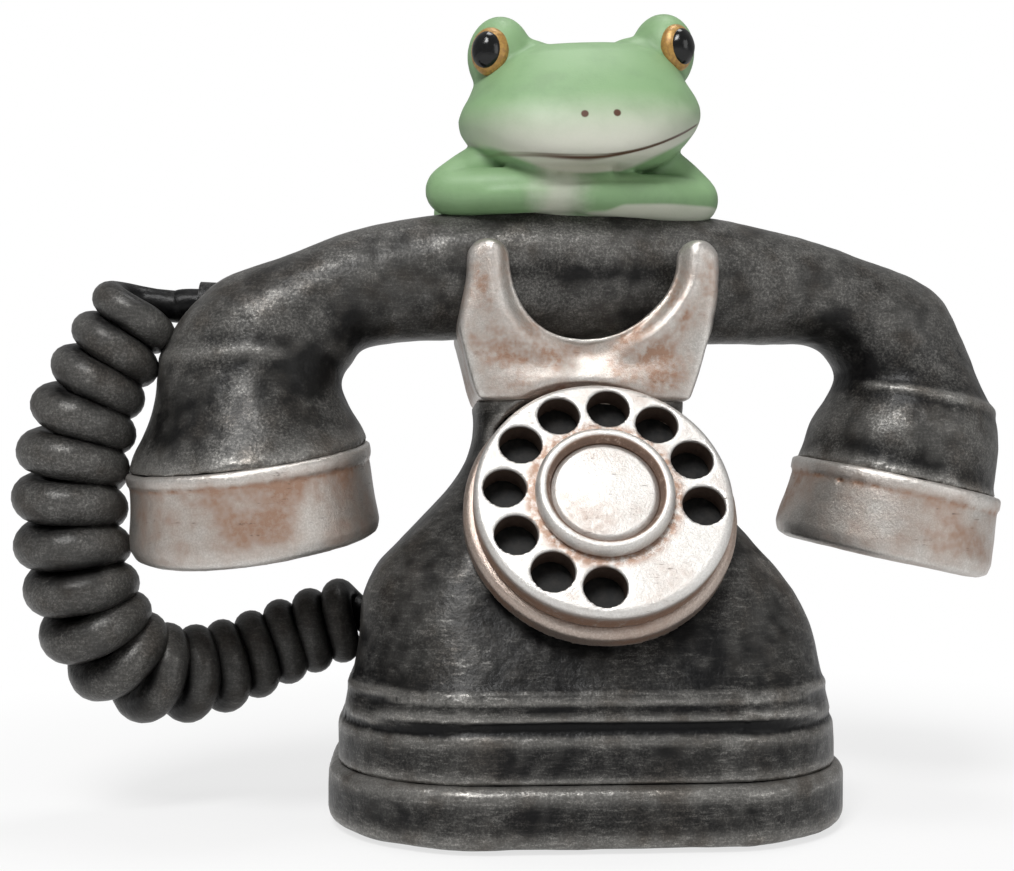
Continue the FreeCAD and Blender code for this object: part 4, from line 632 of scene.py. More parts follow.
class Surface:
    """A mesh held as arrays, with the moves that a modeller's tools make."""

    INWARD = 0.55
    OUTWARD = 0.565
    CREST_ROUNDS = 160
    CREST_FULL = 2.2
    CREST_LEAST = -0.3

    def __init__(self, mesh: bpy.types.Mesh) -> None:
        """Read a mesh's points and edges."""
        self.mesh = mesh
        self.spots = self.read(mesh.vertices, "co", 3)
        pairs = np.empty(len(mesh.edges) * 2, np.int64)
        mesh.edges.foreach_get("vertices", pairs)
        self.pairs = pairs.reshape(-1, 2)
        ends = np.concatenate([self.pairs[:, 0], self.pairs[:, 1]])
        self.valence = np.maximum(np.bincount(ends, minlength=len(self.spots)), 1)[:, None]

    @staticmethod
    def read(items: Any, name: str, width: int) -> np.ndarray:
        """Property of all items as rows of numbers."""
        flat = np.empty(len(items) * width, np.float32)
        items.foreach_get(name, flat)
        return flat.reshape(-1, width).astype(np.float64)

    def mean(self, values: np.ndarray) -> np.ndarray:
        """Mean of each point's neighbours."""
        total = np.zeros_like(values)
        first, second = self.pairs[:, 0], self.pairs[:, 1]
        count = len(values)
        for column in range(values.shape[1]):
            total[:, column] = np.bincount(first, values[second, column], count)
            total[:, column] += np.bincount(second, values[first, column], count)
        return total / self.valence

    def relax(self, rounds: int, keep_size: bool = True) -> None:
        """Smooth the surface.

        Args:
            rounds: Number of passes.
            keep_size: Whether each pass is followed by one that swells it back.
        """
        for _ in range(rounds):
            self.spots += (self.mean(self.spots) - self.spots) * self.INWARD
            if keep_size:
                self.spots -= (self.mean(self.spots) - self.spots) * self.OUTWARD

    def round_off(self, rounds: int, regain: float) -> None:
        """Round every edge off.

        Args:
            rounds: Number of passes.
            regain: Millimetres by which the surface then swells again.
        """
        self.relax(rounds, keep_size=False)
        self.swell(regain * MM)

    def normals(self) -> np.ndarray:
        """Point normals of the surface as it stands."""
        self.write()
        return self.read(self.mesh.vertex_normals, "vector", 3)

    def swell(self, amount: Number) -> None:
        """Move each point along its normal by an amount in metres."""
        self.spots += self.normals() * np.reshape(amount, (-1, 1))

    def wobble(self, size: float, reach: float, seed: float) -> None:
        """Uneven hand-made surface.

        Args:
            size: Height of the unevenness in millimetres.
            reach: Length of the unevenness in millimetres.
            seed: Shift of the noise.
        """
        shift = Vector((seed, seed * 1.7, -seed))
        scale = 1.0 / (reach * MM)
        heights = [noise.noise(Vector(spot) * scale + shift) for spot in self.spots]
        self.swell(np.array(heights) * size * MM)

    def curvature(self, rounds: int, full: float) -> np.ndarray:
        """How far points stand out of their surroundings, from -1 to 1.

        Args:
            rounds: How wide the surroundings are.
            full: Height in millimetres that counts as 1.

        Returns:
            Value per point, positive on ridges.
        """
        soft = self.spots.copy()
        for _ in range(rounds):
            soft += (self.mean(soft) - soft) * 0.6
        out = np.einsum("ij,ij->i", self.spots - soft, self.normals())
        return np.clip(out / (full * MM), -1.0, 1.0)

    def store(self, name: str, values: np.ndarray) -> None:
        """Keep a value per point as a mesh attribute."""
        layer = self.mesh.attributes.get(name) or self.mesh.attributes.new(name, "FLOAT", "POINT")
        layer.data.foreach_set("value", values.astype(np.float32))

    def store_wear(self, rounds: int, full: float) -> None:
        """Keep ridges and hollows as attributes."""
        curve = self.curvature(rounds, full)
        self.store(Wear.RIDGE.value, np.clip(curve, 0, 1))
        self.store(Wear.HOLLOW.value, np.clip(-curve, 0, 1))
        crest_and_shade = self.curvature(self.CREST_ROUNDS, self.CREST_FULL)
        self.store(Wear.CREST_AND_SHADE.value, np.clip(crest_and_shade, self.CREST_LEAST, 1.0))

    def write(self) -> None:
        """Put the points back into the mesh."""
        self.mesh.vertices.foreach_set("co", self.spots.astype(np.float32).ravel())
        self.mesh.update()


def linked(name: str, data: Optional[bpy.types.ID]) -> bpy.types.Object:
    """New object in the scene with some data."""
    thing = bpy.data.objects.new(name, data)
    bpy.context.scene.collection.objects.link(thing)
    return thing


@dataclass(frozen=True)
class Seat:
    """Where a piece belongs: the CAD node that it replaces, its slot and its body."""

    node: str
    slot: str
    body: Optional[Body] = None

    def take(self, name: str, surface: Surface, finish: bpy.types.Material) -> bpy.types.Object:
        """Make a surface a piece with one finish.

        Args:
            name: Piece name.
            surface: Its surface, in place.
            finish: Its material.

        Returns:
            The linked object.
        """
        surface.write()
        mesh = surface.mesh
        piece = linked(name, mesh)
        mesh.materials.clear()
        mesh.materials.append(finish)
        mesh.polygons.foreach_set("use_smooth", np.ones(len(mesh.polygons), bool))
        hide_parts(self.node)
        if self.body is not None:
            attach(piece, self.body.value)
        LOG.info("%s: %d faces", piece.name, len(mesh.polygons))
        return piece


def evaluated_mesh(holder: bpy.types.Object) -> bpy.types.Mesh:
    """Plain mesh of an object with its modifiers applied; the object is removed."""
    graph = bpy.context.evaluated_depsgraph_get()
    mesh = bpy.data.meshes.new_from_object(holder.evaluated_get(graph), depsgraph=graph)
    bpy.data.objects.remove(holder)
    return mesh


def remeshed(mesh: bpy.types.Mesh, voxel: float) -> bpy.types.Mesh:
    """Even closed mesh of a form.

    Args:
        mesh: Closed mesh, or several that overlap.
        voxel: Cell size in millimetres.

    Returns:
        The new mesh.
    """
    holder = linked("holder", mesh)
    cells = holder.modifiers.new("cells", "REMESH")
    cells.mode = "VOXEL"
    cells.voxel_size = voxel * MM
    return evaluated_mesh(holder)


@dataclass
class Casting:
    """Soft-edged copy of a CAD node, as a painted casting has."""

    node: str
    body: Body
    slot: str
    voxel: float = 0.9
    soften: int = 6
    wobble: float = 0.2
    wear_rounds: int = 30
    wear_full: float = 0.5
    shape: Optional[Callable[[Surface], None]] = None
    weld: float = 2e-6
    swells: tuple[tuple[float, float, float], ...] = ((1.0, 14.0, 3.1), (0.35, 4.0, 7.7))

    def make(self, finish: bpy.types.Material) -> None:
        """Build the casting in place of its node, riding on its body.

        Args:
            finish: Its material.
        """
        mesh = frame["nodes"][self.node].data.copy()
        shell = bmesh.new()
        shell.from_mesh(mesh)
        bmesh.ops.remove_doubles(shell, verts=shell.verts, dist=self.weld)
        shell.to_mesh(mesh)
        shell.free()
        surface = Surface(remeshed(mesh, self.voxel))
        surface.relax(self.soften)
        if self.shape is not None:
            self.shape(surface)
        for share, reach, seed in self.swells:
            surface.wobble(self.wobble * share, reach, seed)
        surface.store_wear(self.wear_rounds, self.wear_full)
        Seat(self.node, self.slot, self.body).take(self.node + "_cast", surface, finish)


def eased(values: Number, low: float, high: float) -> Number:
    """Smooth step from 0 at low to 1 at high."""
    share = np.clip((values - low) / (high - low), 0.0, 1.0)
    return share * share * (3 - 2 * share)


def near(values: Number, middle: float, width: float) -> Number:
    """Bell curve: 1 at a middle, falling off over a width."""
    return np.exp(-((values - middle) / width) ** 2)


@dataclass(frozen=True)
class Push:
    """A sculptor's push at a place seen from the front, in millimetres."""

    x: float
    z: float
    reach: float
    move_x: float
    move_z: float

    def apply(self, surface: Surface) -> None:
        """Move the points near the place, through the whole depth of the piece."""
        spots = surface.spots
        away = ((spots[:, 0] / MM - self.x) ** 2 + (spots[:, 2] / MM - self.z) ** 2) / self.reach ** 2
        share = np.exp(-away) * MM
        spots[:, 0] += share * self.move_x
        spots[:, 2] += share * self.move_z


@dataclass
class BodyShell:
    """Stepped foot, sloping body and forked cradle."""

    lean: float = 2.6
    neck_height: Range = (44.0, 66.0)
    neck_depth: Range = (-34.0, -18.0)
    cradle_lean: float = 2.6
    cradle_foot: Range = (118.0, 142.0)
    right_trim: float = 2.2
    right_side: Range = (20.0, 62.0)
    mouth_x: float = 0.0
    mouth_z: float = 143.0
    mouth_radius: float = 21.4
    lip_height: float = 36.0
    lip: float = 0.6
    lip_width: float = 1.4
    band_fill: float = 1.9
    band_low: Range = (29.4, 30.8)
    band_high: Range = (34.6, 36.4)
    band_front: Range = (-42.0, -34.0)
    waist: tuple[Push, ...] = (Push(-35.0, 121.0, 8.0, 0.6, 4.2), Push(33.0, 121.0, 8.0, 0.0, 4.6))

    def make(self, finishes: Finishes) -> None:
        """Build and dress the fixed castings."""
        tier = {"soften": 3, "wobble": 0.25, "wear_rounds": 10, "wear_full": 0.25}
        tray = Casting("base_tray", Body.BASE, "black_shell", 0.9, shape=self.trim_right, **tier)
        housing = Casting("housing_shell", Body.BASE, "black_shell", 0.95, shape=self.lean_housing, **tier)
        cradle = Casting("cradle", Body.BASE, "silver_trim", 0.65, 10, 0.22, 24, 0.8, self.round_cradle)
        tray.make(finishes.tiers)
        housing.make(finishes.tiers)
        cradle.make(finishes.silver)

    def trim_right(self, surface: Surface) -> None:
        """Draw the right side in a little, where the casting is narrower than the left."""
        surface.spots[:, 0] -= eased(surface.spots[:, 0] / MM, *self.right_side) * self.right_trim * MM

    def lean_housing(self, surface: Surface) -> None:
        """Set the neck a little to the left, as the hand-made casting has it."""
        self.trim_right(surface)
        height = surface.spots[:, 2] / MM
        band = eased(height, *self.band_low) * (1.0 - eased(height, *self.band_high)) * self.band_fill
        front = 1.0 - eased(surface.spots[:, 1] / MM, *self.band_front)
        surface.spots[:, 1] -= band * front * MM
        surface.swell(near(height, self.lip_height, self.lip_width) * self.lip * MM)
        spots = surface.spots / MM
        share = eased(spots[:, 2], *self.neck_height) * eased(spots[:, 1], *self.neck_depth)
        surface.spots[:, 0] -= share * self.lean * MM

    def round_cradle(self, surface: Surface) -> None:
        """Round the forks and set their foot a little to the left."""
        self.scoop_cradle(surface)
        surface.round_off(6, 0.25)
        share = 1.0 - eased(surface.spots[:, 2] / MM, *self.cradle_foot)
        surface.spots[:, 0] -= share * self.cradle_lean * MM
        for push in self.waist:
            push.apply(surface)

    def scoop_cradle(self, surface: Surface) -> None:
        """Give each fork a ridge beside its mouth, a bevel into the mouth and a hollow below it."""
        facing = surface.normals()[:, 1]
        x, z = surface.spots[:, 0] / MM, surface.spots[:, 2] / MM
        edge = np.hypot(x - self.mouth_x, np.minimum(z - self.mouth_z, 0.0)) - self.mouth_radius
        middle = near(x, self.mouth_x, 12.0) * (1.0 - eased(z, 122.0, 130.0))
        ridge = near(edge, 4.6, 2.6) * 1.5 * (1.0 - middle)
        bevel = (1.0 - eased(edge, -0.5, 4.2)) * -1.8 * (1.0 - 0.6 * middle)
        hollow = near(x, self.mouth_x, 18.0) * near(z, 119.0, 4.8) * -3.4
        share = eased(np.abs(facing), 0.35, 0.85)
        surface.spots[:, 1] += np.sign(facing) * share * (ridge + bevel + hollow) * MM


@dataclass
class DialFace:
    """Finger wheel, hub and the ring behind them."""

    def make(self, finishes: Finishes) -> None:
        """Build and dress the dial."""
        rows = (
            (Casting("dial_bezel", Body.BASE, "silver_trim", 0.55, 3, 0.1, 24, 0.25), finishes.bezel),
            (Casting("finger_wheel", Body.DIAL, "silver_trim", 0.45, 3, 0.1, 24, 0.25), finishes.dial),
            (Casting("hub_ring", Body.DIAL, "silver_trim", 0.3, 5, 0.08, 24, 0.3, self.round_ring),
             finishes.dial),
            (Casting("hub_cap", Body.DIAL, "silver_trim", 0.3, 5, 0.08, 24, 0.3), finishes.dial),
        )
        for casting, finish in rows:
            casting.make(finish)

    def round_ring(self, surface: Surface) -> None:
        """Round the hub's ring off to a bead."""
        surface.round_off(16, 0.22)


@dataclass
class Handset:
    """Bar with two bells and their silver caps."""

    left_roll: float = 0.13
    right_roll: float = 0.075
    pushes: tuple[Push, ...] = (
        Push(-84.0, 149.0, 16.0, 0.0, -3.0),
        Push(80.0, 146.0, 16.0, 0.0, -2.0),
        Push(102.0, 133.0, 18.0, -2.6, -1.0),
        Push(110.0, 112.0, 14.0, -1.6, 0.0),
        Push(116.0, 85.0, 22.0, -1.6, 0.0),
        Push(68.0, 122.0, 10.0, 1.0, 2.6),
        Push(54.0, 77.0, 9.0, -2.6, 0.0),
        Push(101.0, 140.0, 9.0, 1.0, 0.8),
        Push(-109.0, 120.0, 14.0, -4.5, 0.0),
        Push(-120.0, 66.0, 11.0, -3.0, 0.0),
    )
    bells: Range = (94.0, 114.0)
    cap_lift: float = 2.4
    cap_heights: Range = (66.0, 88.0)
    rim_drop: float = 1.2
    rim: Range = (94.0, 9.0)
    left_shift: float = 1.2
    left_collar: float = 0.45
    right_collar: float = 0.8
    seat: float = 2.6
    seat_place: Range = (2.0, 36.0)

    def make(self, finishes: Finishes) -> None:
        """Build and dress the handset."""
        for node, slot, voxel, soften, wobble, finish in (
            ("handset_shell", "black_shell", 0.9, 8, 0.35, finishes.handset),
            ("transmitter_cap", "silver_trim", 0.7, 4, 0.2, finishes.cap),
            ("receiver_cap", "silver_trim", 0.7, 4, 0.2, finishes.cap),
        ):
            Casting(node, Body.HANDSET, slot, voxel, soften, wobble, shape=self.roll).make(finish)

    def roll(self, surface: Surface) -> None:
        """Tip the bells' mouths towards the back, so that their near edges hang lower."""
        yaw = math.radians(FROG.yaw)
        spots = surface.spots
        ahead = spots[:, 1] * math.cos(yaw) - spots[:, 0] * math.sin(yaw)
        share = 1.0 - eased(spots[:, 2] / MM, *self.bells)
        left = spots[:, 0] < 0
        amount = np.where(left, self.left_roll, self.right_roll)
        spots[:, 2] += amount * ahead * share
        for push in self.pushes:
            push.apply(surface)
        height = spots[:, 2] / MM
        lift = (1.0 - eased(height, *self.cap_heights)) * self.cap_lift
        lift = lift - near(height, *self.rim) * self.rim_drop
        spots[:, 2] += np.where(left, lift, 0.0) * MM
        spots[:, 0] -= np.where(left, share, 0.0) * self.left_shift * MM
        across = spots[:, 0] / MM
        right_line = near(height + (across - 78.8) * 0.19, 112.7, 1.5) * eased(across, 72.0, 80.0)
        left_line = near(height, 118.5, 2.0) * (1.0 - eased(across, -82.0, -74.0))
        surface.swell((right_line * self.right_collar + left_line * self.left_collar) * MM)
        front = eased(-ahead / MM, -6.0, 8.0) * eased(height, 140.0, 150.0)
        surface.swell(near(spots[:, 0] / MM, *self.seat_place) * front * self.seat * MM)


class Clay:
    """Lumps of clay pressed into one closed form, placed in the handset's own directions."""

    LIMB_STEPS = 16
    LIMB_ROUNDS = 14

    def __init__(self) -> None:
        """Start with no clay."""
        self.lumps = bmesh.new()
        self.turn = Matrix.Rotation(math.radians(FROG.yaw), 4, "Z") @ Matrix.Diagonal((MM, MM, MM, 1.0))

    def ball(self, centre: Point, radii: Point, pitch: float = 0.0, yaw: float = 0.0, fine: int = 4) -> None:
        """Add an egg.

        Args:
            centre: Its middle in millimetres.
            radii: Half its width, depth and height.
            pitch: Turn about the sideways direction in degrees.
            yaw: Turn about the upright in degrees.
            fine: Subdivision of the egg.
        """
        place = self.turn @ Matrix.Translation(centre) @ Matrix.Rotation(math.radians(yaw), 4, "Z")
        place = place @ Matrix.Rotation(math.radians(pitch), 4, "X") @ Matrix.Diagonal((*radii, 1.0))
        bmesh.ops.create_icosphere(self.lumps, subdivisions=fine, radius=1.0, matrix=place)

    def limb(self, joints: Sequence[tuple[Point, float]]) -> None:
        """Add a limb that runs through joints of given radii in a smooth curve."""
        spots = np.array([(*spot, size) for spot, size in joints])
        share = np.linspace(0, len(spots) - 1, self.LIMB_STEPS * (len(spots) - 1) + 1)
        curve = np.column_stack([np.interp(share, np.arange(len(spots)), column) for column in spots.T])
        for _ in range(self.LIMB_ROUNDS):
            curve[1:-1] += (curve[:-2] + curve[2:] - 2 * curve[1:-1]) * 0.25
        for x, y, z, size in curve:
            self.ball((x, y, z), (size, size, size), fine=3)

    def loft(self, rings: Sequence[np.ndarray]) -> None:
        """Add a closed form through rings of points in millimetres."""
        rows = [[self.lumps.verts.new(self.turn @ Vector(spot)) for spot in ring] for ring in rings]
        count = len(rows[0])
        for low, high in zip(rows, rows[1:]):
            for index in range(count):
                after = (index + 1) % count
                self.lumps.faces.new((low[index], low[after], high[after], high[index]))
        self.lumps.faces.new(rows[0][::-1])
        self.lumps.faces.new(rows[-1])

    def pressed(self, voxel: float) -> Surface:
        """All lumps as one even surface.

        Args:
            voxel: Cell size in millimetres.

        Returns:
            The closed surface.
        """
        mesh = bpy.data.meshes.new("clay")
        bmesh.ops.recalc_face_normals(self.lumps, faces=self.lumps.faces)
        self.lumps.to_mesh(mesh)
        self.lumps.free()
        return Surface(remeshed(mesh, voxel))


@dataclass
class Frog:
    """Frog that leans on the bar with folded arms.

    Rows of the head give height, half width, front and rear, and those of the eye mounds spread, depth,
    height and radii.
    """

    head: tuple[tuple[float, float, float, float], ...] = (
        (168.0, 8.0, -20.0, 0.0), (168.3, 14.0, -25.0, 5.0), (169.2, 18.8, -27.8, 8.0),
        (170.9, 22.5, -29.0, 11.0), (173.2, 25.4, -29.6, 13.5), (176.0, 28.2, -29.6, 16.0),
        (179.0, 30.8, -28.9, 18.0), (182.0, 32.4, -27.8, 19.2), (185.0, 32.6, -26.3, 19.8),
        (188.0, 31.6, -24.7, 20.0), (191.0, 30.0, -23.0, 20.0), (194.0, 28.8, -21.0, 19.5),
        (197.0, 27.6, -18.6, 18.5), (200.0, 25.8, -16.0, 17.0), (203.0, 21.5, -11.8, 13.5),
        (204.6, 14.0, -6.5, 9.0),
    )
    mounds: tuple[tuple[float, float, float, Point], ...] = (
        (22.6, -2.0, 202.6, (8.6, 9.8, 10.6)),
        (15.5, 0.0, 200.6, (10.0, 10.5, 6.6)),
    )
    mound_shift: float = 1.0
    left_lift: float = 0.035
    jaw: float = 0.8
    plan: float = 2.3
    eye_spread: float = 25.4
    eye_ahead: float = -9.6
    eye_height: float = 201.8
    eye_turn: float = 22.0

    def make(self, finishes: Finishes) -> None:
        """Build and dress the frog and its eyes."""
        self.make_figure(finishes)
        self.make_eyes(finishes)

    def rolled(self, across: float, height: float) -> float:
        """Height of a point of the head once its roll is added."""
        return height + across * math.tan(math.radians(FROG.roll))

    def make_figure(self, finishes: Finishes) -> None:
        """Press the frog from its head, back, arms and legs."""
        clay = Clay()
        self.add_head(clay)
        self.add_body(clay)
        surface = clay.pressed(0.62)
        surface.round_off(12, 0.2)
        self.press_mouth(surface)
        surface.wobble(0.12, 9.0, 2.3)
        surface.store_wear(40, 0.7)
        Seat("frog_figure", "frog_green", Body.HANDSET).take("frog_figure_cast", surface, finishes.frog)

    def add_head(self, clay: Clay) -> None:
        """Wide flat head with two mounds for the eyes."""
        angles = np.linspace(0, 2 * math.pi, 96, endpoint=False)
        rings = []
        for height, half, front, rear in self.head:
            plan_x = np.sign(np.cos(angles)) * np.abs(np.cos(angles)) ** (2 / self.plan) * half
            plan_y = np.sign(np.sin(angles)) * np.abs(np.sin(angles)) ** (2 / self.plan) * (rear - front) / 2
            lift = self.left_lift * (1.0 - eased(height, 180.0, 196.0))
            heights = [self.rolled(across, height) + max(-across, 0.0) * lift for across in plan_x]
            rings.append(np.column_stack([plan_x + FROG.middle, plan_y + (rear + front) / 2, heights]))
        clay.loft(rings)
        for side in (-1, 1):
            for spread, depth, height, radii in self.mounds:
                across = FROG.middle + self.mound_shift + side * spread
                clay.ball((across, depth, self.rolled(side * spread, height)), radii)

    def add_body(self, clay: Clay) -> None:
        """Chest, back, seat, folded arms and tucked legs."""
        clay.ball((-2.5, -4.0, 164.0), (21.0, 14.0, 9.0))
        clay.ball((0.0, 14.0, 171.6), (25.0, 27.0, 17.0), pitch=-20.0)
        clay.ball((0.0, 28.0, 163.6), (21.0, 15.0, 11.0))
        clay.limb([((-21.0, 0.0, 173.0), 8.4), ((-30.0, -2.0, 168.4), 7.6), ((-39.0, -6.0, 162.8), 6.2),
                   ((-24.0, -12.5, 162.6), 6.0), ((2.0, -15.6, 163.2), 5.4)])
        clay.limb([((18.0, 0.0, 173.0), 8.4), ((24.5, -2.0, 168.4), 7.6), ((31.0, -5.5, 162.6), 6.2),
                   ((16.0, -13.5, 162.2), 5.9), ((-2.0, -16.2, 161.8), 5.4)])
        for side in (-1, 1):
            clay.limb([((side * 30.6, 30.0, 164.6), 7.0), ((side * 23.4, 10.0, 164.6), 8.0)])
            clay.limb([((side * 29.0, 10.0, 163.4), 5.0), ((side * 29.0, 30.0, 161.1), 5.0)])
            clay.limb([((side * 29.0, 31.0, 161.1), 3.8), ((side * 33.0, 17.0, 159.8), 3.4)])

    def press_mouth(self, surface: Surface) -> None:
        """Set the lower jaw back a little under the smile."""
        across, ahead, level = face_place(*(surface.spots / MM).T)
        side = eased(across, -3.0, 3.0) * 0.4 + 0.6
        bow = level - FROG.smile_height - FROG.smile_bow * across * across * side
        below = (1.0 - eased(bow, -0.7, 0.3)) * eased(level, 162.5, 165.0)
        front = eased(ahead, 12.0, 20.0) * (1.0 - eased(np.abs(across), 26.0, 31.0))
        surface.swell(-self.jaw * MM * below * front)

    def make_eyes(self, finishes: Finishes) -> None:
        """Golden rims with dark wet pupils in them."""
        turn = math.radians(self.eye_turn)
        for name, node, slot, radii, out, aside, finish in (
            ("frog_eye_rims", "frog_eye_rings", "eye_gold", (5.1, 3.4, 6.4), 0.0, 0.0, finishes.gold),
            ("frog_pupils", "frog_eyes", "eye_black", (4.2, 3.6, 5.2), 0.75, 0.5, finishes.pupil),
        ):
            clay = Clay()
            for side in (-1, 1):
                across = side * (self.eye_spread + out * math.sin(turn) + aside)
                height = self.rolled(side * self.eye_spread, self.eye_height)
                clay.ball((FROG.middle + across, self.eye_ahead - out * math.cos(turn), height), radii,
                          yaw=side * self.eye_turn, fine=6)
            surface = clay.pressed(0.22)
            surface.relax(4)
            surface.wobble(0.1, 2.5, 4.1)
            surface.store_wear(20, 0.3)
            Seat(node, slot, Body.HANDSET).take(name, surface, finish)


@dataclass
class CurlyCord:
    """Curly cord between the handset's left end and the body's left side."""

    line: tuple[Point, ...] = (
        (-0.1155, -0.0135, 0.1335),
        (-0.1205, -0.0135, 0.1240),
        (-0.1275, -0.0135, 0.1115),
        (-0.1323, -0.0135, 0.0970),
        (-0.1336, -0.0135, 0.0810),
        (-0.1322, -0.0125, 0.0660),
        (-0.1282, -0.0095, 0.0495),
        (-0.1180, -0.0025, 0.0365),
        (-0.1025, 0.0070, 0.0350),
        (-0.0880, 0.0145, 0.0400),
        (-0.0760, 0.0185, 0.0450),
        (-0.0600, 0.0200, 0.0500),
    )
    handset_end: tuple[Point, Point] = ((-0.0910, -0.0059, 0.1329), (-0.999, -0.015, 0.04))
    base_end: tuple[Point, Point] = ((-0.0460, 0.0152, 0.0472), (0.974, -0.036, 0.225))
    radii: Point = (0.0071, 0.0088, 0.0072)
    wires: Point = (0.0047, 0.0056, 0.0044)
    open_pitch: float = 0.0109
    end_pitch: float = 0.0083
    start_stage: Range = (0.0, 0.3)
    end_stage: Range = (0.5, 0.9)
    front_share: float = 0.72
    wall_gap: float = 0.004
    lead_wire: float = 0.0041
    lead_steps: int = 60
    lead_pull: Range = (0.028, 0.012)
    swell_steps: float = 160.0
    thinning: int = 3
    samples: int = 3000
    ring_sides: int = 20

    def axis(self) -> np.ndarray:
        """Evenly spaced points of the route's spline."""
        curve = bpy.data.curves.new("cord_axis", "CURVE")
        curve.dimensions = "3D"
        spline = curve.splines.new("NURBS")
        spline.points.add(len(self.line) - 1)
        for point, place in zip(spline.points, self.line):
            point.co = (*place, 1.0)
        spline.order_u = 3
        spline.use_endpoint_u = True
        spline.resolution_u = 64
        spots = Surface.read(evaluated_mesh(linked("cord_axis", curve)).vertices, "co", 3)
        run = np.concatenate([[0.0], np.cumsum(np.linalg.norm(np.diff(spots, axis=0), axis=1))])
        goal = np.linspace(0, run[-1], self.samples + 1)
        return np.column_stack([np.interp(goal, run, spots[:, column]) for column in range(3)])

    @staticmethod
    def staged(sizes: Point, first: float, last: float) -> float:
        """Size between its values at the start, the middle and the end of the winding."""
        start, middle, end = sizes
        return middle + (end - middle) * last + (start - middle) * first

    def wind(self) -> tuple[np.ndarray, np.ndarray, np.ndarray]:
        """Wire wound about the route.

        Returns:
            Points of the wire, wire radius at each, and the axis point that each turns about.
        """
        axis = self.axis()
        step = float(np.linalg.norm(axis[1] - axis[0]))
        ahead = np.gradient(axis, axis=0)
        ahead /= np.linalg.norm(ahead, axis=1)[:, None]
        length = step * self.samples
        side, angle = np.array([0.0, 1.0, 0.0]), 0.0
        spots, sizes, centre = [], [], []
        for index in range(self.samples + 1):
            side = side - ahead[index] * side.dot(ahead[index])
            side /= np.linalg.norm(side)
            along = index * step
            if along > length - self.wall_gap:
                break
            last = eased(along / length, *self.end_stage)
            first = 1.0 - eased(along / length, *self.start_stage)
            radius = self.staged(self.radii, first, last)
            pitch = self.open_pitch + (self.end_pitch - self.open_pitch) * max(last, first * 0.6)
            across = np.cross(ahead[index], side)
            shift = ahead[index] * math.sin(-angle) * self.front_share * pitch / (2 * math.pi)
            centre.append(axis[index])
            spots.append(axis[index] + shift + (side * math.cos(angle) + across * math.sin(angle)) * radius)
            sizes.append(self.staged(self.wires, first, last))
            angle -= 2 * math.pi / pitch * step
        spots, sizes, centre = np.array(spots), np.array(sizes), np.array(centre)
        into = self.lead(self.handset_end, spots[0], spots[1] - spots[0], self.lead_pull[0])
        away = self.lead(self.base_end, spots[-1], spots[-2] - spots[-1], self.lead_pull[1], -1.0)[::-1]
        wire = np.concatenate([into[:-1], spots, away[1:]])
        count = self.lead_steps - 1
        thick = np.concatenate([np.full(count, self.lead_wire), sizes, np.full(count, self.wires[-1])])
        ramp = np.clip((np.arange(len(thick)) - count * 0.5) / self.swell_steps, 0.0, 1.0)
        thick = self.lead_wire + (thick - self.lead_wire) * ramp
        centre = np.concatenate([np.repeat(centre[:1], count, 0), centre, np.repeat(centre[-1:], count, 0)])
        return wire, thick, centre

    def lead(self, end: tuple[Point, Point], spot: np.ndarray, run: np.ndarray, pull: float,
             sign: float = 1.0) -> np.ndarray:
        """Smooth lead from a sleeve to the first or last turn.

        Args:
            end: Point inside the sleeve, and the direction that the cord has there.
            spot: Where the winding starts.
            run: Direction of the winding there, away from the sleeve.
            pull: How far the lead keeps to each direction, in metres.
            sign: -1 where the sleeve's direction points into the object.

        Returns:
            Points from the sleeve to the winding.
        """
        begin, heading = np.array(end[0]), np.array(end[1]) * sign
        share = np.linspace(0.0, 1.0, self.lead_steps)[:, None]
        third = spot - run / np.linalg.norm(run) * pull * 0.6
        second = begin + heading * pull
        rest = 1.0 - share
        return (begin * rest ** 3 + second * 3 * rest ** 2 * share
                + third * 3 * rest * share ** 2 + spot * share ** 3)

    def tube_tree(self, finish: bpy.types.Material) -> bpy.types.NodeTree:
        """Geometry nodes that sweep a ring along a line of points.

        Args:
            finish: Material of the tube.

        Returns:
            The node tree, with an input for the ring's sides.
        """
        tree = bpy.data.node_groups.new("cord_sweep", "GeometryNodeTree")
        for name, way, kind in (
            ("Line", "INPUT", "NodeSocketGeometry"),
            ("Sides", "INPUT", "NodeSocketInt"),
            ("Tube", "OUTPUT", "NodeSocketGeometry"),
        ):
            tree.interface.new_socket(name, in_out=way, socket_type=kind)
        bench = Bench(tree)
        start = bench.add("NodeGroupInput", out="Line")
        thick = bench.add("GeometryNodeInputNamedAttribute", {"data_type": "FLOAT"}, {"Name": "thick"})
        line = bench.add("GeometryNodeMeshToCurve", None, {"Mesh": start})
        sides = {"Resolution": start.other("Sides"), "Radius": 1.0}
        ring = bench.add("GeometryNodeCurvePrimitiveCircle", None, sides)
        swept = {"Curve": line, "Profile Curve": ring, "Scale": thick, "Fill Caps": True}
        tube = bench.add("GeometryNodeCurveToMesh", None, swept)
        real = bench.add("GeometryNodeRealizeInstances", None, {"Geometry": tube})
        dressed = bench.add("GeometryNodeSetMaterial", None, {"Geometry": real, "Material": finish})
        bench.node("NodeGroupOutput", None, {"Tube": dressed})
        return tree

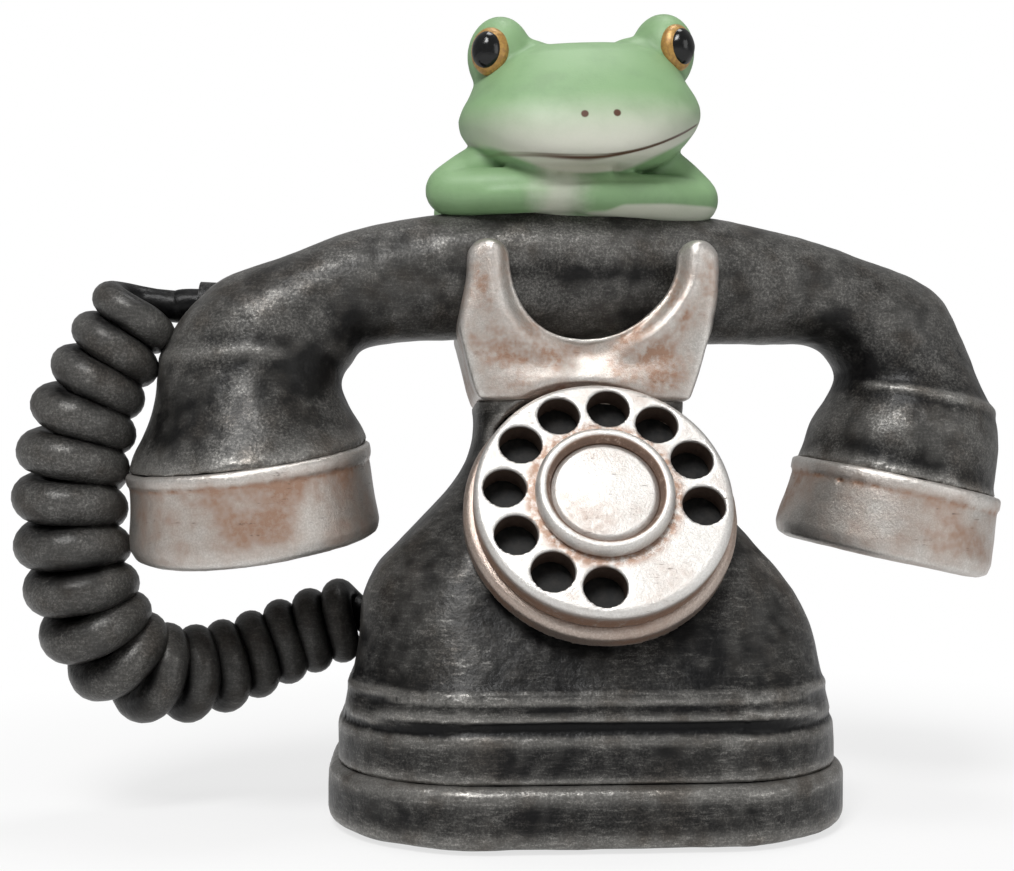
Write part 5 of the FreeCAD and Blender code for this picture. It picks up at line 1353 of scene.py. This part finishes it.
    def make(self, finish: bpy.types.Material) -> None:
        """Build the cord and tie it to both ends.

        Args:
            finish: Its material.
        """
        wire, thick, centre = self.wind()
        wire, thick, centre = (rows[::self.thinning] for rows in (wire, thick, centre))
        mesh = bpy.data.meshes.new("cord_line")
        count = len(wire)
        mesh.from_pydata(wire.tolist(), [(index, index + 1) for index in range(count - 1)], [])
        mesh.attributes.new("thick", "FLOAT", "POINT").data.foreach_set("value", thick.astype(np.float32))
        holder = linked("cord_line", mesh)
        tree = self.tube_tree(finish)
        sweep = holder.modifiers.new("sweep", "NODES")
        sweep.node_group = tree
        sides = next(item for item in tree.interface.items_tree if item.name == "Sides")
        sweep[sides.identifier] = self.ring_sides
        surface = Surface(evaluated_mesh(holder))
        ring = np.minimum(np.arange(len(surface.spots)) // self.ring_sides, count - 1)
        outward = wire[ring] - centre[ring]
        outward /= np.maximum(np.linalg.norm(outward, axis=1), 1e-9)[:, None]
        lean = np.einsum("ij,ij->i", (surface.spots - wire[ring]) / thick[ring][:, None], outward)
        surface.wobble(0.35, 9.0, 5.3)
        surface.store(Wear.RIDGE.value, np.clip((lean - 0.55) / 0.45, 0, 1) * 0.6)
        surface.store(Wear.HOLLOW.value, np.clip((0.15 - lean) / 0.8, 0, 1))
        # Painted shade: the run from the coil to the body lies in shadow, so it gets almost no silver and
        # reads dark; the coil gets a little more.
        surface.store(Wear.CREST_AND_SHADE.value, 0.4 - 1.4 * eased(wire[ring, 0], -0.115, -0.095))
        piece = Seat("curly_cord", "cord_black").take("curly_cord_tube", surface, finish)
        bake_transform(piece)


@dataclass
class Studio:
    """Plain white studio and the camera at the photograph's viewpoint."""

    eye: Point = (-0.04381, -0.37443, 0.08473)
    right: Point = (0.9981, -0.061, 0.0)
    up: Point = (-0.0024, -0.0385, 0.9993)
    back: Point = (-0.0609, -0.9974, -0.0386)
    focal_pixels: float = 1391.0
    image_width: float = 1014.0
    sensor: float = 36.0
    mirrored_share: float = 0.22
    room_light: float = 0.2
    floor_reach: float = 6.0
    floor_glow: float = 0.72
    floor_mirror: float = 0.6
    floor_grey: Colour = (0.86, 0.86, 0.86)
    fade: Range = (110.0, 320.0)
    lamps: list[tuple[str, Point, Point, float, float]] = field(default_factory=lambda: [
        ("key", (-0.3, -0.8, 1.05), (0.0, 0.0, 0.1), 0.45, 13.0),
        ("fill", (0.9, -0.8, 0.45), (0.0, 0.0, 0.1), 0.6, 2.4),
        ("top", (0.1, 0.1, 1.25), (0.0, 0.0, 0.1), 0.4, 3.6),
    ])

    def make(self) -> None:
        """Set up camera, world, floor and lamps."""
        self.add_camera()
        self.add_world()
        self.add_floor()
        for name, place, aim, size, power in self.lamps:
            self.add_lamp(name, place, aim, size, power)

    def add_camera(self) -> None:
        """Camera at the photograph's viewpoint."""
        data = bpy.data.cameras.new("photo_camera")
        data.sensor_width = self.sensor
        data.lens = self.focal_pixels / self.image_width * self.sensor
        data.clip_start = 0.01
        camera = linked("photo_camera", data)
        turn = Matrix((self.right, self.up, self.back)).transposed().to_4x4()
        turn.translation = Vector(self.eye)
        camera.matrix_world = turn
        bpy.context.scene.camera = camera

    def add_world(self) -> None:
        """Soft white surroundings."""
        world = bpy.data.worlds.new("white_room")
        bpy.context.scene.world = world
        world.use_nodes = True
        bench = Bench(world.node_tree)
        rays = bench.add("ShaderNodeLightPath", out="Is Camera Ray")
        seen = rays.most(rays.other("Is Transmission Ray"))
        mirrored = rays.other("Is Glossy Ray").math("MULTIPLY_ADD", self.mirrored_share, seen)
        level = bench.add("ShaderNodeMapRange", None, {0: mirrored, 3: self.room_light, 4: 1.0})
        glow = bench.add("ShaderNodeBackground", None, {"Color": WHITE, "Strength": level})
        bench.node("ShaderNodeOutputWorld", None, {"Surface": glow})

    def add_floor(self) -> None:
        """Pale floor that keeps the shadow and fades to white."""
        mesh = bpy.data.meshes.new("studio_floor")
        reach = self.floor_reach
        corners = [(-reach, -reach, 0), (reach, -reach, 0), (reach, reach, 0), (-reach, reach, 0)]
        mesh.from_pydata(corners, [], [(0, 1, 2, 3)])
        floor = linked("studio_floor", mesh)
        bench = Paint("pale_floor")
        away = bench.add("ShaderNodeVectorMath", {"operation": "LENGTH"}, {0: bench.place()}, "Value")
        rays = bench.add("ShaderNodeLightPath", out="Is Camera Ray")
        seen = rays.most(rays.other("Is Glossy Ray") * self.floor_mirror)
        share = (self.floor_glow + away.rise(*self.fade) * (1.0 - self.floor_glow)) * seen
        matt = bench.add("ShaderNodeBsdfDiffuse", None, {"Color": self.floor_grey})
        glow = bench.add("ShaderNodeEmission", None, {"Color": WHITE, "Strength": 1.0})
        shader = bench.add("ShaderNodeMixShader", None, {0: share, 1: matt, 2: glow})
        mesh.materials.append(bench.close(shader))

    def add_lamp(self, name: str, place: Point, aim: Point, size: float, power: float) -> None:
        """Soft square lamp.

        Args:
            name: Lamp name.
            place: Where it stands, in metres.
            aim: Point that it faces.
            size: Side length in metres.
            power: Power in watts.
        """
        data = bpy.data.lights.new(name, "AREA")
        data.size = size
        data.energy = power
        lamp = linked(name, data)
        lamp.location = place
        lamp.rotation_euler = (Vector(aim) - Vector(place)).to_track_quat("-Z", "Y").to_euler()


def dress_nodes(finishes: Finishes) -> None:
    """Give every CAD node that still shows its finish."""
    for entry in frame["record"]["subparts"]:
        node = frame["nodes"][entry["node"]]
        if not node.hide_render:
            node.data.materials.clear()
            node.data.materials.append(finishes.by_slot(entry["material_slot"]))


def main() -> None:
    """Build every sub-assembly in order."""
    logging.basicConfig(level=logging.INFO, format="%(name)s: %(message)s")
    bpy.context.scene.view_settings.view_transform = "Standard"
    Studio().make()
    finishes = Finishes()
    CurlyCord().make(finishes.cord)
    BodyShell().make(finishes)
    DialFace().make(finishes)
    Handset().make(finishes)
    Frog().make(finishes)
    dress_nodes(finishes)


if __name__ == "__main__":
    main()
